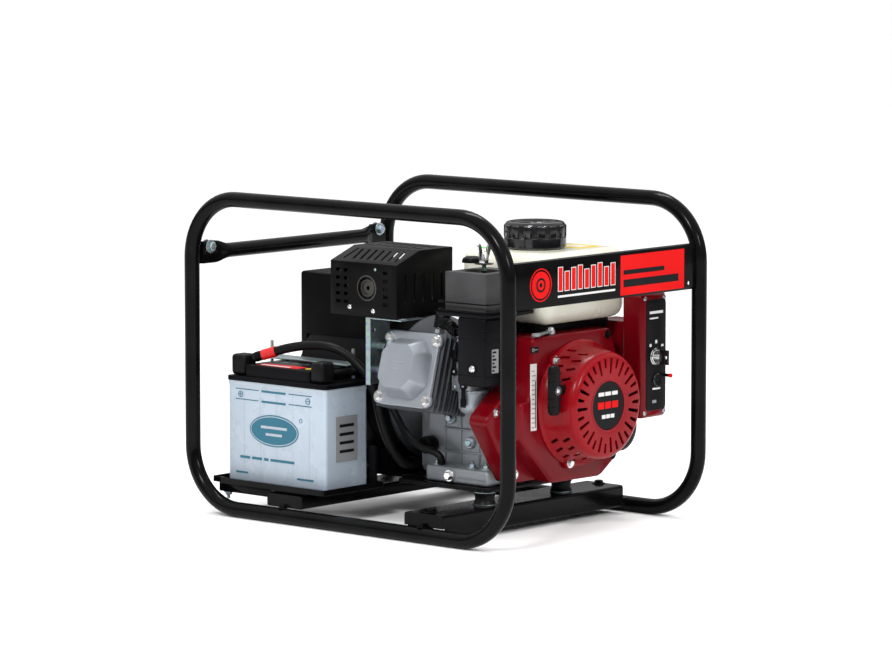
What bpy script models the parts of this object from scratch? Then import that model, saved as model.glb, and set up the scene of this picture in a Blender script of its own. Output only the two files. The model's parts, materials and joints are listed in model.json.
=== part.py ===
"""Portable generator: a four-stroke engine and alternator in an open tube frame.

Two hoops of bent tube are joined by base rails, a rear tube and a front plate. The engine's
crankshaft runs along Y: the recoil starter is at the -Y end and the battery on the -X side.
Units are metres, +Z is up, and the origin is on the floor under the middle of the frame.
"""
import math

import bmesh
import bpy
from mathutils import Matrix, Vector

GAP = 0.0003
MERGE = 0.00001

# Tube frame
TUBE_R = 0.01065
TUBE_SIDES = 12
TUBE_FLAT = TUBE_R * math.cos(math.pi / TUBE_SIDES)
HOOP_X = 0.1955
HOOP_Y = 0.2815
HOOP_RISE = 0.4187
BEND_R = 0.082
LEG_INNER = HOOP_X - TUBE_FLAT
TUBE_TOP = 2 * TUBE_FLAT
RAIL_TOP = 0.038
RAIL_WALL = 0.0025
CRADLE_LOW = 0.0565
CRADLE_TOP = 0.0615

# Engine: the cylinder leans towards -X
CRANK_X = 0.033
CRANK_Z = 0.1685
SHAFT_R = 0.0125
THROW = 0.0225
BORE_R = 0.034
CYL_Y = -0.052
CYL_LEAN = math.radians(16)
DECK = 0.1398
HEAD_TOP = 0.166
COVER_TOP = 0.196
CASE_LOW = CRADLE_TOP + GAP
CASE_FRONT = -0.150
CASE_BACK = -0.012
SHROUD_FRONT = -0.208
RECOIL_FACE = -0.259
STARTER = (0.138, 0.124)

# Alternator, on the crankshaft's axis
COVER_BACK = 0.004
BELL_BACK = 0.0452
SHELL_R = 0.098
SHELL_STEPS = 40
SHELL_BACK = 0.215
PANEL_BACK = 0.228

# Tank and air cleaner
TANK_LOW = Vector((-0.028, -0.205, 0.2735))
TANK_HIGH = Vector((0.140, -0.050, 0.368))
NECK = Vector((0.032, -0.133, 0.378))
CLEANER_LOW = Vector((-0.131, -0.189, 0.2973))
CLEANER_HIGH = Vector((-0.035, -0.101, 0.358))
STUD = (-0.091, -0.150)
STUD_R = 0.003

# Battery
TRAY_FLOOR = 0.0445
BATTERY_LOW = Vector((-0.170, 0.060, TRAY_FLOOR + GAP))
BATTERY_HIGH = Vector((-0.087, 0.240, 0.181))
TERMINAL_X = -0.152
TERMINALS_Y = (0.227, 0.082)
CLAMP_X = -0.077
CLAMP_RODS_Y = (0.095, 0.246)

# Cable routes, through points from one end to the other
POSITIVE_ROUTE = ((-0.1500, 0.2108, 0.2112), (-0.1430, 0.1970, 0.2160), (-0.1300, 0.1650, 0.2260),
                  (-0.1170, 0.1380, 0.2305), (-0.1100, 0.1080, 0.2300), (-0.1010, 0.0860, 0.2210),
                  (-0.0980, 0.0640, 0.2060), (-0.0930, 0.0500, 0.1900), (-0.0880, 0.0475, 0.1750),
                  (-0.0830, 0.0465, 0.1600), (-0.0760, 0.0420, 0.1250), (-0.0660, 0.0300, 0.0880),
                  (-0.0500, 0.0190, 0.0710), (-0.0200, 0.0180, 0.0700), (0.0400, 0.0180, 0.0700),
                  (0.0950, 0.0170, 0.0700), (0.1240, 0.0030, 0.0740), (0.1370, -0.0300, 0.0860),
                  (0.1400, -0.0620, 0.1060), (0.1380, -0.0880, 0.1220), (0.1380, -0.1090, 0.1240))
NEGATIVE_ROUTE = ((-0.1387, 0.0790, 0.1990), (-0.1200, 0.0785, 0.1990), (-0.1000, 0.0785, 0.1980),
                  (-0.0860, 0.0770, 0.1965), (-0.0770, 0.0710, 0.1900), (-0.0740, 0.0590, 0.1770),
                  (-0.0710, 0.0420, 0.1620), (-0.0700, 0.0260, 0.1440), (-0.0760, 0.0000, 0.1180), (-0.0800, -0.0300, 0.1040),
                  (-0.0780, -0.0500, 0.1000), (-0.0760, -0.0610, 0.0930), (-0.0760, -0.0620, 0.0836))
LEAD_ROUTE = ((-0.1040, -0.1157, 0.2674), (-0.1030, -0.1205, 0.2674), (-0.0970, -0.1250, 0.2672),
              (-0.0850, -0.1265, 0.2665), (-0.0640, -0.1280, 0.2625), (-0.0490, -0.1335, 0.2550),
              (-0.0450, -0.1500, 0.2515), (-0.0450, -0.1680, 0.2515))
BOOT_ROUTE = ((-0.0935, -0.0780, 0.2745), (-0.0965, -0.0890, 0.2755), (-0.1010, -0.1000, 0.2735),
              (-0.1035, -0.1070, 0.2702), (-0.1040, -0.1118, 0.2680), (-0.1040, -0.1150, 0.2675))

X_AXIS = Vector((1, 0, 0))
Y_AXIS = Vector((0, 1, 0))
Z_AXIS = Vector((0, 0, 1))

for old in list(bpy.data.objects):
    bpy.data.objects.remove(old, do_unlink=True)


def new_collection(name):
    collection = bpy.data.collections.new(name)
    bpy.context.scene.collection.children.link(collection)
    return collection


PARTS = new_collection("portable_generator")
CUTTERS = new_collection("cutters")


def material(name, colour, roughness, metallic=0.0):
    made = bpy.data.materials.new(name)
    made.use_nodes = True
    shader = made.node_tree.nodes["Principled BSDF"]
    shader.inputs["Base Color"].default_value = (*colour, 1.0)
    shader.inputs["Roughness"].default_value = roughness
    shader.inputs["Metallic"].default_value = metallic
    return made


BLACK_PAINT = material("black_paint", (0.012, 0.012, 0.014), 0.35)
BLACK_PLASTIC = material("black_plastic", (0.015, 0.015, 0.017), 0.5)
RUBBER = material("rubber", (0.02, 0.02, 0.02), 0.8)
MAROON_PAINT = material("maroon_paint", (0.25, 0.008, 0.02), 0.3)
RED_PLASTIC = material("red_plastic", (0.55, 0.008, 0.012), 0.35)
CREAM_PAINT = material("cream_paint", (0.78, 0.77, 0.68), 0.3)
CAST_ALUMINIUM = material("cast_aluminium", (0.45, 0.46, 0.48), 0.5, 0.7)
SILVER_PAINT = material("silver_paint", (0.55, 0.57, 0.60), 0.4, 0.6)
GALVANISED = material("galvanised", (0.55, 0.60, 0.62), 0.4, 0.8)
STEEL = material("steel", (0.45, 0.45, 0.46), 0.35, 0.9)
CAST_IRON = material("cast_iron", (0.12, 0.12, 0.13), 0.6, 0.8)
COPPER = material("copper_winding", (0.35, 0.12, 0.05), 0.5, 0.6)
CASE_PLASTIC = material("case_plastic", (0.62, 0.66, 0.72), 0.4)
FOAM = material("foam", (0.05, 0.05, 0.05), 0.9)


# Helpers

def place(name, mesh, finish, location=(0, 0, 0), rotation=(0, 0, 0), parent=None):
    """Make an object of the mesh. One with no finish is a cutter."""
    made = bpy.data.objects.new(name, mesh)
    if finish is None:
        CUTTERS.objects.link(made)
        made.hide_render = True
        made.display_type = "WIRE"
    else:
        PARTS.objects.link(made)
        mesh.materials.clear()
        mesh.materials.append(finish)
    made.location = location
    made.rotation_euler = rotation
    made.parent = parent
    return made


def mesh_of(name, bm, sharp=None):
    mesh = bpy.data.meshes.new(name)
    bm.to_mesh(mesh)
    bm.free()
    if sharp is not None:
        mesh.shade_smooth()
        mesh.set_sharp_from_angle(angle=math.radians(sharp))
    return mesh


def rotation_to(direction):
    """Euler angles that turn +Z to a direction."""
    return Vector(direction).to_track_quat("Z", "Y").to_euler()


def bevel(target, width, segments=2, angle=40):
    mod = target.modifiers.new("bevel", "BEVEL")
    mod.width = width
    mod.segments = segments
    mod.limit_method = "ANGLE"
    mod.angle_limit = math.radians(angle)
    return target


def boolean(target, other, operation):
    mod = target.modifiers.new(other.name, "BOOLEAN")
    mod.object = other
    mod.operation = operation
    mod.solver = "EXACT"
    return target


def cut(target, *cutters):
    for cutter in cutters:
        boolean(target, cutter, "DIFFERENCE")
    return target


def join(target, *pieces):
    for piece in pieces:
        boolean(target, piece, "UNION")
    return target


def box(name, low, high, finish=None, edge=0.0, segments=2, parent=None):
    """A box between two corners, with its origin at its centre."""
    low, high = Vector(low), Vector(high)
    bm = bmesh.new()
    bmesh.ops.create_cube(bm, size=1.0)
    bmesh.ops.scale(bm, vec=high - low, verts=bm.verts)
    made = place(name, mesh_of(name, bm), finish, (low + high) / 2, parent=parent)
    if edge:
        bevel(made, edge, segments)
    return made


def rod(name, start, direction, length, radius, finish=None, sides=24, parent=None):
    """A cylinder that leaves a start point in a direction, with its origin at that point."""
    bm = bmesh.new()
    bmesh.ops.create_cone(bm, cap_ends=True, segments=sides, radius1=radius, radius2=radius, depth=length)
    bmesh.ops.translate(bm, vec=(0, 0, length / 2), verts=bm.verts)
    return place(name, mesh_of(name, bm, 35), finish, start, rotation_to(direction), parent)


def turned(name, profile, finish, location=(0, 0, 0), direction=Z_AXIS, steps=32, closed=False, parent=None):
    """Turn a profile of (radius, height) points that runs down its outer side."""
    bm = bmesh.new()
    points = [bm.verts.new((radius, 0, height)) for radius, height in profile]
    for first, second in zip(points, points[1:]):
        bm.edges.new((first, second))
    if closed:
        bm.edges.new((points[-1], points[0]))
    made = place(name, mesh_of(name, bm), finish, location, rotation_to(direction), parent)
    mod = made.modifiers.new("turn", "SCREW")
    mod.steps = steps
    mod.render_steps = steps
    mod.use_merge_vertices = True
    mod.merge_threshold = MERGE
    mod.use_smooth_shade = True
    return made


def meshed(made, finish):
    """Replace a curve by its welded mesh, so that it can be cut or joined."""
    bpy.context.view_layer.update()
    evaluated = made.evaluated_get(bpy.context.evaluated_depsgraph_get())
    mesh = bpy.data.meshes.new_from_object(evaluated)
    bm = bmesh.new()
    bm.from_mesh(mesh)
    bmesh.ops.remove_doubles(bm, verts=bm.verts, dist=MERGE)
    bm.to_mesh(mesh)
    bm.free()
    name, matrix = made.name, made.matrix_world.copy()
    bpy.data.objects.remove(made)
    solid = place(name, mesh, finish)
    solid.matrix_world = matrix
    return solid


def curve_data(name, points, cyclic):
    data = bpy.data.curves.new(name, "CURVE")
    spline = data.splines.new("POLY")
    spline.points.add(len(points) - 1)
    for target, point in zip(spline.points, points):
        target.co = (*point, 1.0)
    spline.use_cyclic_u = cyclic
    return data


def slab(name, outline, thickness, finish, matrix):
    """A flat outline of (x, y) points made into a slab that is centred on the matrix's plane."""
    data = curve_data(name, [(x, y, 0.0) for x, y in outline], True)
    data.dimensions = "2D"
    data.fill_mode = "BOTH"
    data.extrude = thickness / 2
    made = bpy.data.objects.new(name, data)
    PARTS.objects.link(made)
    made.matrix_world = matrix
    return meshed(made, finish)


def front_slab(name, outline, y_range, finish=None):
    """A slab with an outline of (x, z) points, between two y values."""
    low, high = y_range
    matrix = Matrix.Translation((0, (low + high) / 2, 0)) @ Matrix.Rotation(math.pi / 2, 4, "X")
    return slab(name, outline, high - low, finish, matrix)


def flat_slab(name, outline, z_range, finish=None):
    """A slab with an outline of (x, y) points, between two z values."""
    low, high = z_range
    return slab(name, outline, high - low, finish, Matrix.Translation((0, 0, (low + high) / 2)))


def inset(outline, amount):
    """Move every side of an anticlockwise outline inwards by the same amount."""
    corners = [Vector(point) for point in outline]
    moved = []
    for before, corner, after in zip([corners[-1]] + corners, corners, corners[1:] + corners[:1]):
        first, second = (corner - before).normalized(), (after - corner).normalized()
        inward = Vector((-first.y, first.x)) + Vector((-second.y, second.x))
        moved.append(tuple(corner + inward * (amount * 2 / inward.length_squared)))
    return moved


def tube(name, points, radius, finish=None, cyclic=False, tilt=0.0, resolution=2):
    data = curve_data(name, points, cyclic)
    data.dimensions = "3D"
    data.bevel_depth = radius
    data.bevel_resolution = resolution
    data.use_fill_caps = not cyclic
    for point in data.splines[0].points:
        point.tilt = tilt
    made = bpy.data.objects.new(name, data)
    PARTS.objects.link(made)
    return meshed(made, finish)


def smooth_route(points, per_span):
    """Points along a smooth curve that passes through the given ones."""
    knots = [Vector(point) for point in points]
    knots = [2 * knots[0] - knots[1]] + knots + [2 * knots[-1] - knots[-2]]
    route = []
    for a, b, c, d in zip(knots, knots[1:], knots[2:], knots[3:]):
        for step in range(per_span):
            t = step / per_span
            curve = 2 * b + (c - a) * t + (2 * a - 5 * b + 4 * c - d) * t ** 2
            route.append(0.5 * (curve + (3 * b - a - 3 * c + d) * t ** 3))
    route.append(knots[-2])
    return route


def crank_point(y):
    return Vector((CRANK_X, y, CRANK_Z))


def crank_disc(name, y_range, radius, finish=None, sides=32):
    low, high = y_range
    return rod(name, crank_point(low), Y_AXIS, high - low, radius, finish, sides)


# Frame

def hoop_points(x):
    """The centre line of a hoop: four straight sides and four round bends."""
    middle = TUBE_FLAT + HOOP_RISE / 2
    half_y, half_z = HOOP_Y - BEND_R, HOOP_RISE / 2 - BEND_R
    bend_steps = 6
    points = []
    for quarter, (side_y, side_z) in enumerate(((1, 1), (-1, 1), (-1, -1), (1, -1))):
        for step in range(bend_steps + 1):
            angle = math.pi / 2 * (quarter + step / bend_steps)
            points.append((x, side_y * half_y + BEND_R * math.cos(angle),
                           middle + side_z * half_z + BEND_R * math.sin(angle)))
    return points


def make_hoops():
    """A facet of each tube lies flat on the floor. A tab on each hoop takes the rear tube."""
    for name, side in (("left_hoop", -1), ("right_hoop", 1)):
        hoop = tube(name, hoop_points(side * HOOP_X), TUBE_R, BLACK_PAINT, cyclic=True,
                    tilt=math.pi / TUBE_SIDES, resolution=TUBE_SIDES // 2 - 2)
        low, high = sorted((side * 0.190, side * 0.156))
        join(hoop, box(name + "_tab", (low, 0.2762, 0.337), (high, 0.2792, 0.367)),
             rod(name + "_nut", (side * 0.170, 0.279, 0.360), Y_AXIS, 0.006, 0.0065, sides=6))


def make_rear_cross_tube():
    """A tube whose ends are pressed flat and bolted to the hoops' tabs."""
    y, z, radius = 0.2737, 0.352, 0.0100
    flat_y, flat_z, sides = 0.0022, 0.0150, 16
    sections = ((-0.1835, flat_y, flat_z), (-0.152, flat_y, flat_z), (-0.135, radius, radius),
                (0.135, radius, radius), (0.152, flat_y, flat_z), (0.1835, flat_y, flat_z))
    bm = bmesh.new()
    rings = []
    for x, half_y, half_z in sections:
        angles = [2 * math.pi * i / sides for i in range(sides)]
        rings.append([bm.verts.new((x, y + half_y * math.cos(a), z + half_z * math.sin(a))) for a in angles])
    for first, second in zip(rings, rings[1:]):
        for i, corner in enumerate(first):
            j = (i + 1) % sides
            bm.faces.new((corner, first[j], second[j], second[i]))
    bm.faces.new(rings[0])
    bm.faces.new(rings[-1])
    bmesh.ops.recalc_face_normals(bm, faces=bm.faces)
    cross = place("rear_cross_tube", mesh_of("rear_cross_tube", bm, 40), BLACK_PAINT)
    for side in (-1, 1):
        join(cross, rod("cross_bolt", (side * 0.170, y, 0.360), -Y_AXIS, 0.0075, 0.0065, sides=6))


def make_front_plate():
    """A folded sheet between the front legs, open at the back."""
    end, sheet = LEG_INNER - GAP, 0.002
    low, high = Vector((-end, -0.2835, 0.313)), Vector((end, -0.2715, 0.373))
    plate = box("front_plate", low, high, BLACK_PAINT)
    cut(plate, box("plate_inside", low + Vector((-0.01, sheet, sheet)), high + Vector((0.01, 0.01, -sheet))))


def make_front_base_rail():
    """A deep channel, open below. It butts against the right hoop and rests on the left one."""
    near, far, top_end = -0.192, LEG_INNER - GAP, 0.177
    front, back = -0.167, -0.100
    rail = box("front_base_rail", (near, front, 0.0085), (far, back, RAIL_TOP), BLACK_PAINT)
    inner_front, inner_back = front + RAIL_WALL, back - RAIL_WALL
    cut(rail,
        box("rail_inside", (near + RAIL_WALL, inner_front, 0), (top_end - RAIL_WALL, inner_back, RAIL_TOP - RAIL_WALL)),
        box("rail_end", (top_end, inner_front, 0), (far + 0.01, inner_back, 0.05)),
        box("rail_step", (top_end, front - 0.01, 0.020), (far + 0.01, back + 0.01, 0.05)),
        box("rail_notch", (near - 0.01, front - 0.01, 0), (-LEG_INNER + GAP, back + 0.01, TUBE_TOP + GAP)))


def make_rear_base_rail():
    """A shallow channel, open below, that lies on both hoops."""
    end, front, back = 0.192, 0.083, 0.147
    rail = box("rear_base_rail", (-end, front, TUBE_TOP + GAP), (end, back, RAIL_TOP), BLACK_PAINT)
    cut(rail, box("rear_rail_inside", (-end + RAIL_WALL, front + RAIL_WALL, 0),
                  (end - RAIL_WALL, back - RAIL_WALL, RAIL_TOP - RAIL_WALL)))


def make_cradle():
    """The plate under the engine, with a saddle for the alternator, on four rubber mounts."""
    outline = ((-0.096, -0.162), (0.118, -0.162), (0.118, 0.150), (-0.060, 0.150), (-0.060, 0.000), (-0.096, 0.000))
    cradle = flat_slab("engine_cradle", outline, (CRADLE_LOW, CRADLE_TOP), BLACK_PAINT)
    saddle = box("saddle", (-0.020, 0.085, CRADLE_TOP - 0.002), (0.086, 0.148, 0.090))
    cut(saddle, crank_disc("saddle_seat", (0.07, 0.16), SHELL_R + 0.0004, sides=SHELL_STEPS))
    join(cradle, saddle)
    places = {"front_left_mount": (-0.080, -0.142), "front_right_mount": (0.076, -0.142),
              "rear_left_mount": (-0.030, 0.115), "rear_right_mount": (0.090, 0.115)}
    low, high = RAIL_TOP + GAP, CRADLE_LOW - GAP
    profile = [(0, high), (0.0140, high), (0.0152, high - 0.003), (0.0132, (low + high) / 2), (0.0152, low + 0.003),
               (0.0140, low), (0, low)]
    for name, (x, y) in places.items():
        turned(name, profile, RUBBER, (x, y, 0), steps=14)


def make_battery_tray():
    """A shallow tray with a lip, on two bars across the rear rail, with an upright stop."""
    low, sheet, end, step_x, step_y = 0.0422, 0.002, 0.256, -LEG_INNER + GAP, 0.236
    outline = ((-0.191, 0.045), (-0.070, 0.045), (-0.070, end), (step_x, end), (step_x, step_y), (-0.191, step_y))
    tray = flat_slab("battery_tray", outline, (low, 0.050), BLACK_PAINT)
    cut(tray, flat_slab("tray_inside", inset(outline, sheet), (TRAY_FLOOR, 0.060)))
    for x in (-0.184, -0.100):
        join(tray, box("tray_bar", (x, 0.086, RAIL_TOP + GAP), (x + 0.012, 0.148, 0.043)),
             box("tray_rib", (x + 0.001, 0.1475, 0.030), (x + 0.011, 0.245, 0.0432)))
    join(tray, box("tray_stop", (-0.086, 0.048, 0.0435), (-0.080, 0.059, 0.099)))


# Battery

def make_battery():
    """The case, and the lid with its raised block and two terminals."""
    box("battery_case", BATTERY_LOW, BATTERY_HIGH, CASE_PLASTIC, 0.003)
    lip, base = 0.0015, BATTERY_HIGH.z + GAP
    lid = box("battery_lid", (BATTERY_LOW.x - lip, BATTERY_LOW.y - lip, base),
              (BATTERY_HIGH.x + lip, BATTERY_HIGH.y + lip, 0.1875), BLACK_PLASTIC)
    join(lid, box("lid_block", (-0.165, 0.095, 0.186), (-0.089, 0.213, 0.2035), edge=0.002, segments=1))
    for y in TERMINALS_Y:
        join(lid, rod("terminal", (TERMINAL_X, y, 0.186), Z_AXIS, 0.0105, 0.006, sides=12))
    for name, y_range, y in (("positive_boot", (0.2145, 0.2395), TERMINALS_Y[0]),
                             ("negative_boot", (0.0705, 0.0935), TERMINALS_Y[1])):
        boot = box(name, (-0.165, y_range[0], 0.1878), (-0.139, y_range[1], 0.216), RUBBER, 0.004)
        cut(boot, rod(name + "_socket", (TERMINAL_X, y, 0.18), Z_AXIS, 0.0175, 0.0065, sides=16))


def make_battery_clamp():
    """A flat bar over the battery's edge, held down by two threaded rods and their nuts."""
    clamp = box("battery_clamp", (-0.100, 0.085, 0.204), (-0.0705, 0.252, 0.207), GALVANISED)
    for y in CLAMP_RODS_Y:
        join(clamp, rod("clamp_rod", (CLAMP_X, y, TRAY_FLOOR + GAP), Z_AXIS, 0.226 - TRAY_FLOOR, 0.0025, sides=12),
             rod("clamp_nut", (CLAMP_X, y, 0.206), Z_AXIS, 0.007, 0.006, sides=6))


def make_cables():
    tube("positive_cable", smooth_route(POSITIVE_ROUTE, 2), 0.0065, RUBBER)
    tube("negative_cable", smooth_route(NEGATIVE_ROUTE, 2), 0.0050, RUBBER)
    tube("ignition_lead", smooth_route(LEAD_ROUTE, 2), 0.0035, RUBBER)


# Engine

def cylinder_frame():
    """An empty on the crank axis. Its +Z runs up the cylinder and its +X is the upper side."""
    empty = bpy.data.objects.new("cylinder_frame", None)
    PARTS.objects.link(empty)
    empty.location = (CRANK_X, CYL_Y, CRANK_Z)
    empty.rotation_euler = (0, CYL_LEAN - math.pi / 2, 0)
    return empty


def make_crankcase(frame):
    """Crankcase and finned cylinder in one casting, open at the back."""
    case = box("crankcase", (-0.052, CASE_FRONT, CASE_LOW), (0.1045, CASE_BACK, 0.245), CAST_ALUMINIUM, 0.008)
    join(case, box("foot", (-0.085, CASE_FRONT, CASE_LOW), (0.118, -0.042, 0.083), edge=0.003, segments=1),
         rod("drain_bolt", (-0.083, -0.086, 0.072), -X_AXIS, 0.009, 0.006, sides=6),
         rod("barrel", (0, 0, 0.060), Z_AXIS, DECK - 0.060, 0.0398, sides=20, parent=frame))
    for i in range(7):
        low = 0.095 + 0.0065 * i
        join(case, box("fin", (-0.047, -0.047, low), (0.047, 0.047, low + 0.0022), parent=frame))
    cut(case, box("chamber", (-0.038, -0.140, 0.076), (0.096, 0, 0.232)),
        crank_disc("front_bore", (CASE_FRONT - 0.01, -0.13), SHAFT_R + 0.0005),
        rod("bore", (0, 0, 0.030), Z_AXIS, 0.2, BORE_R, sides=24, parent=frame),
        rod("filler_hole", (-0.060, -0.025, 0.105), X_AXIS, 0.03, 0.008, sides=16))


def make_side_cover():
    cover = box("side_cover", (-0.042, CASE_BACK + GAP, CASE_LOW), (0.103, COVER_BACK, 0.238), CAST_ALUMINIUM, 0.004, 1)
    cut(cover, crank_disc("cover_bore", (-0.02, 0.02), SHAFT_R + 0.0005))


def make_head(frame):
    """Cylinder head with three cooling plates, and the valve cover on it."""
    low = DECK + GAP
    head = box("cylinder_head", (-0.044, -0.044, low), (0.044, 0.044, HEAD_TOP), CAST_ALUMINIUM, parent=frame)
    for z in (low + 0.001, low + 0.011, low + 0.021):
        join(head, box("head_plate", (-0.052, -0.050, z), (0.052, 0.050, z + 0.0025), parent=frame))
    base = HEAD_TOP + GAP
    cover = box("valve_cover", (-0.039, -0.038, base + 0.002), (0.039, 0.038, COVER_TOP), SILVER_PAINT, 0.008,
                parent=frame)
    join(cover, box("cover_flange", (-0.050, -0.046, base), (0.050, 0.046, base + 0.0047), parent=frame))
    for x in (-0.040, 0.040):
        for y in (-0.041, 0.041):
            join(cover, rod("cover_bolt", (x, y, base + 0.004), Z_AXIS, 0.0065, 0.0045, sides=6, parent=frame))


def make_piston(frame):
    """The piston at the top of its stroke, hollow below."""
    crown, skirt, radius = 0.136, 0.100, BORE_R - 0.0004
    turned("piston", [(0, crown), (radius, crown), (radius, skirt), (0.029, skirt), (0.029, crown - 0.007),
                      (0, crown - 0.007)], CAST_ALUMINIUM, steps=20, parent=frame)


def make_spark_plug(frame):
    """The plug on the head's upper side, and its cap with the arm that takes the lead."""
    seat = Vector((0.0524, -0.026, 0.150))
    turned("spark_plug", [(0, 0.0210), (0.003, 0.0210), (0.0045, 0.0170), (0.0045, 0.0070), (0.0075, 0.0065),
                          (0.0075, 0), (0, 0)], STEEL, seat, X_AXIS, 12, parent=frame)
    up = Vector((math.sin(CYL_LEAN), 0, math.cos(CYL_LEAN)))
    foot = Vector((-0.0968, -0.078, 0.2602)) + up * 0.0085
    cap = rod("plug_cap", foot, up, 0.0205, 0.0105, RUBBER, 16)
    join(cap, tube("cap_arm", smooth_route(BOOT_ROUTE, 2), 0.0080))
    cut(cap, rod("cap_socket", foot - up * 0.005, up, 0.0185, 0.0055, sides=12))


def make_crankshaft():
    """Shaft, two webs and the pin at the top of its throw."""
    half, web = 0.010, 0.010
    front_web, rear_web = CYL_Y - half - web, CYL_Y + half
    shaft = crank_disc("crankshaft", (-0.206, front_web + 0.001), SHAFT_R, STEEL, 24)
    join(shaft, crank_disc("rear_shaft", (rear_web + web - 0.001, 0.185), SHAFT_R, sides=24),
         crank_disc("front_web", (front_web, front_web + web), 0.042, sides=24),
         crank_disc("rear_web", (rear_web, rear_web + web), 0.042, sides=24))
    towards = Vector((-math.cos(CYL_LEAN), 0, math.sin(CYL_LEAN)))
    join(shaft, rod("crank_pin", crank_point(CYL_Y - half - 0.001) + towards * THROW, Y_AXIS, 2 * half + 0.002, 0.015))


def make_flywheel():
    """Flywheel with the cooling fan's blades on its front."""
    rim, bore = 0.077, SHAFT_R + GAP
    wheel = turned("flywheel", [(bore, 0.030), (0.028, 0.030), (0.034, 0.018), (rim, 0.018), (rim, 0), (bore, 0)],
                   CAST_IRON, crank_point(-0.168), -Y_AXIS, 28, closed=True)
    blades = 8
    for i in range(blades):
        angle = 2 * math.pi * i / blades
        blade = box("blade", (0.040, -0.0350, -0.0012), (0.073, -0.0165, 0.0012))
        blade.data.transform(Matrix.Translation((0.0565, -0.02575, 0)))
        blade.location = crank_point(-0.168)
        blade.rotation_euler = (0, -angle, 0)
        join(wheel, blade)


def make_fan_shroud():
    """The cover round the fan: a deep front part, and a shallower wing beside the cylinder."""
    wall, back, wing_front = 0.003, CASE_FRONT - GAP, -0.180
    front = ((-0.019, 0.066), (0.080, 0.065), (0.110, 0.085), (0.118, 0.130), (0.118, 0.215), (0.100, 0.262),
             (-0.060, 0.262), (-0.067, 0.179), (-0.084, 0.179), (-0.084, 0.128))
    wing = ((-0.066, 0.068), (0.060, 0.067), (0.060, 0.261), (-0.066, 0.261), (-0.066, 0.195), (-0.086, 0.186),
            (-0.119, 0.160), (-0.121, 0.151))
    shroud = front_slab("fan_shroud", front, (SHROUD_FRONT, back), MAROON_PAINT)
    join(shroud, front_slab("wing", wing, (wing_front, back)))
    starter = Vector((STARTER[0], -0.2005, STARTER[1]))
    cut(shroud, front_slab("shroud_inside", inset(front, wall), (SHROUD_FRONT + wall, 0)),
        front_slab("wing_inside", inset(wing, wall), (wing_front + wall, 0)),
        crank_disc("air_inlet", (SHROUD_FRONT - 0.01, SHROUD_FRONT + 0.01), 0.070, sides=48),
        rod("starter_room", starter, Y_AXIS, 0.1, 0.0335, sides=32))


def make_recoil_starter():
    """The slotted cover with its emblem, the rope reel on its post, and the pull grip."""
    base = SHROUD_FRONT - 0.0004
    depth, wall = base - RECOIL_FACE, 0.003
    cover = turned("recoil_cover", [(0, depth - 0.0015), (0.033, depth - 0.0015), (0.033, depth), (0.064, depth),
                                    (0.071, depth - 0.007), (0.074, depth - 0.021), (0.081, 0.0046), (0.0845, 0),
                                    (0.0785, 0), (0.0705, depth - 0.021), (0.068, depth - 0.0085),
                                    (0.0630, depth - wall), (0.007, depth - wall), (0.007, 0.0156), (0, 0.0156)],
                   RED_PLASTIC, crank_point(base), -Y_AXIS, 36)
    slots = 30
    outer = 0.0625
    for i in range(slots):
        inner = 0.042 if i % 2 else 0.050
        slot = box("slot", (inner, -0.006, -0.0014), (outer, 0.006, 0.0014))
        slot.data.transform(Matrix.Translation(((inner + outer) / 2, 0, 0)))
        slot.location = crank_point(RECOIL_FACE)
        slot.rotation_euler = (0, -2 * math.pi * i / slots, 0)
        cut(cover, slot)
    join(cover, box("rope_guide", (-0.0445, -0.243, 0.189), (-0.034, -0.233, 0.201)))
    turned("recoil_emblem", [(0, 0.0012), (0.0318, 0.0012), (0.0323, 0.0008), (0.0323, 0), (0, 0)], BLACK_PLASTIC,
           crank_point(RECOIL_FACE + 0.0015 - GAP), -Y_AXIS, 24)
    turned("recoil_reel", [(0.0074, 0.022), (0.058, 0.022), (0.058, 0.019), (0.045, 0.017), (0.045, 0.005),
                           (0.058, 0.003), (0.058, 0), (0.0074, 0)], BLACK_PLASTIC, crank_point(-0.226), -Y_AXIS, 24,
           closed=True)
    box("pull_grip", (-0.0615, -0.245, 0.162), (-0.0448, -0.231, 0.228), BLACK_PLASTIC, 0.005)


def make_starter_motor():
    turned("starter_motor", [(0, 0.090), (0.026, 0.090), (0.033, 0.085), (0.033, 0.010), (0.030, 0.006), (0.012, 0.006),
                             (0.012, 0), (0, 0)], BLACK_PAINT, (STARTER[0], -0.110, STARTER[1]), -Y_AXIS, 28)


def make_control_box():
    """The electric box with its lock, open at the back, and the key."""
    wall, front, middle, back = 0.0025, -0.245, -0.2095, -0.155
    lock = Vector((0.1485, front, 0.222))
    control = box("control_box", (0.1195, front, 0.140), (0.174, middle, 0.308), MAROON_PAINT, 0.005)
    join(control, box("control_back", (0.1275, middle - 0.001, 0.160), (0.174, back, 0.268)),
         box("control_lug", (0.1183, -0.200, 0.180), (0.130, -0.170, 0.200)),
         rod("lock_barrel", lock + Y_AXIS * 0.001, -Y_AXIS, 0.003, 0.010))
    cut(control, box("control_inside", (0.122, front + wall, 0.1425), (0.1715, middle - wall, 0.3055)),
        box("control_back_inside", (0.130, middle - 0.004, 0.1625), (0.1715, back + 0.01, 0.2655)))
    key = rod("ignition_key", lock - Y_AXIS * (0.002 + GAP), -Y_AXIS, 0.006, 0.0030, STEEL, 12)
    join(key, box("key_head", (lock.x - 0.0013, -0.268, lock.z - 0.010), (lock.x + 0.0013, -0.252, lock.z + 0.010),
                  edge=0.001, segments=1))


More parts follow.
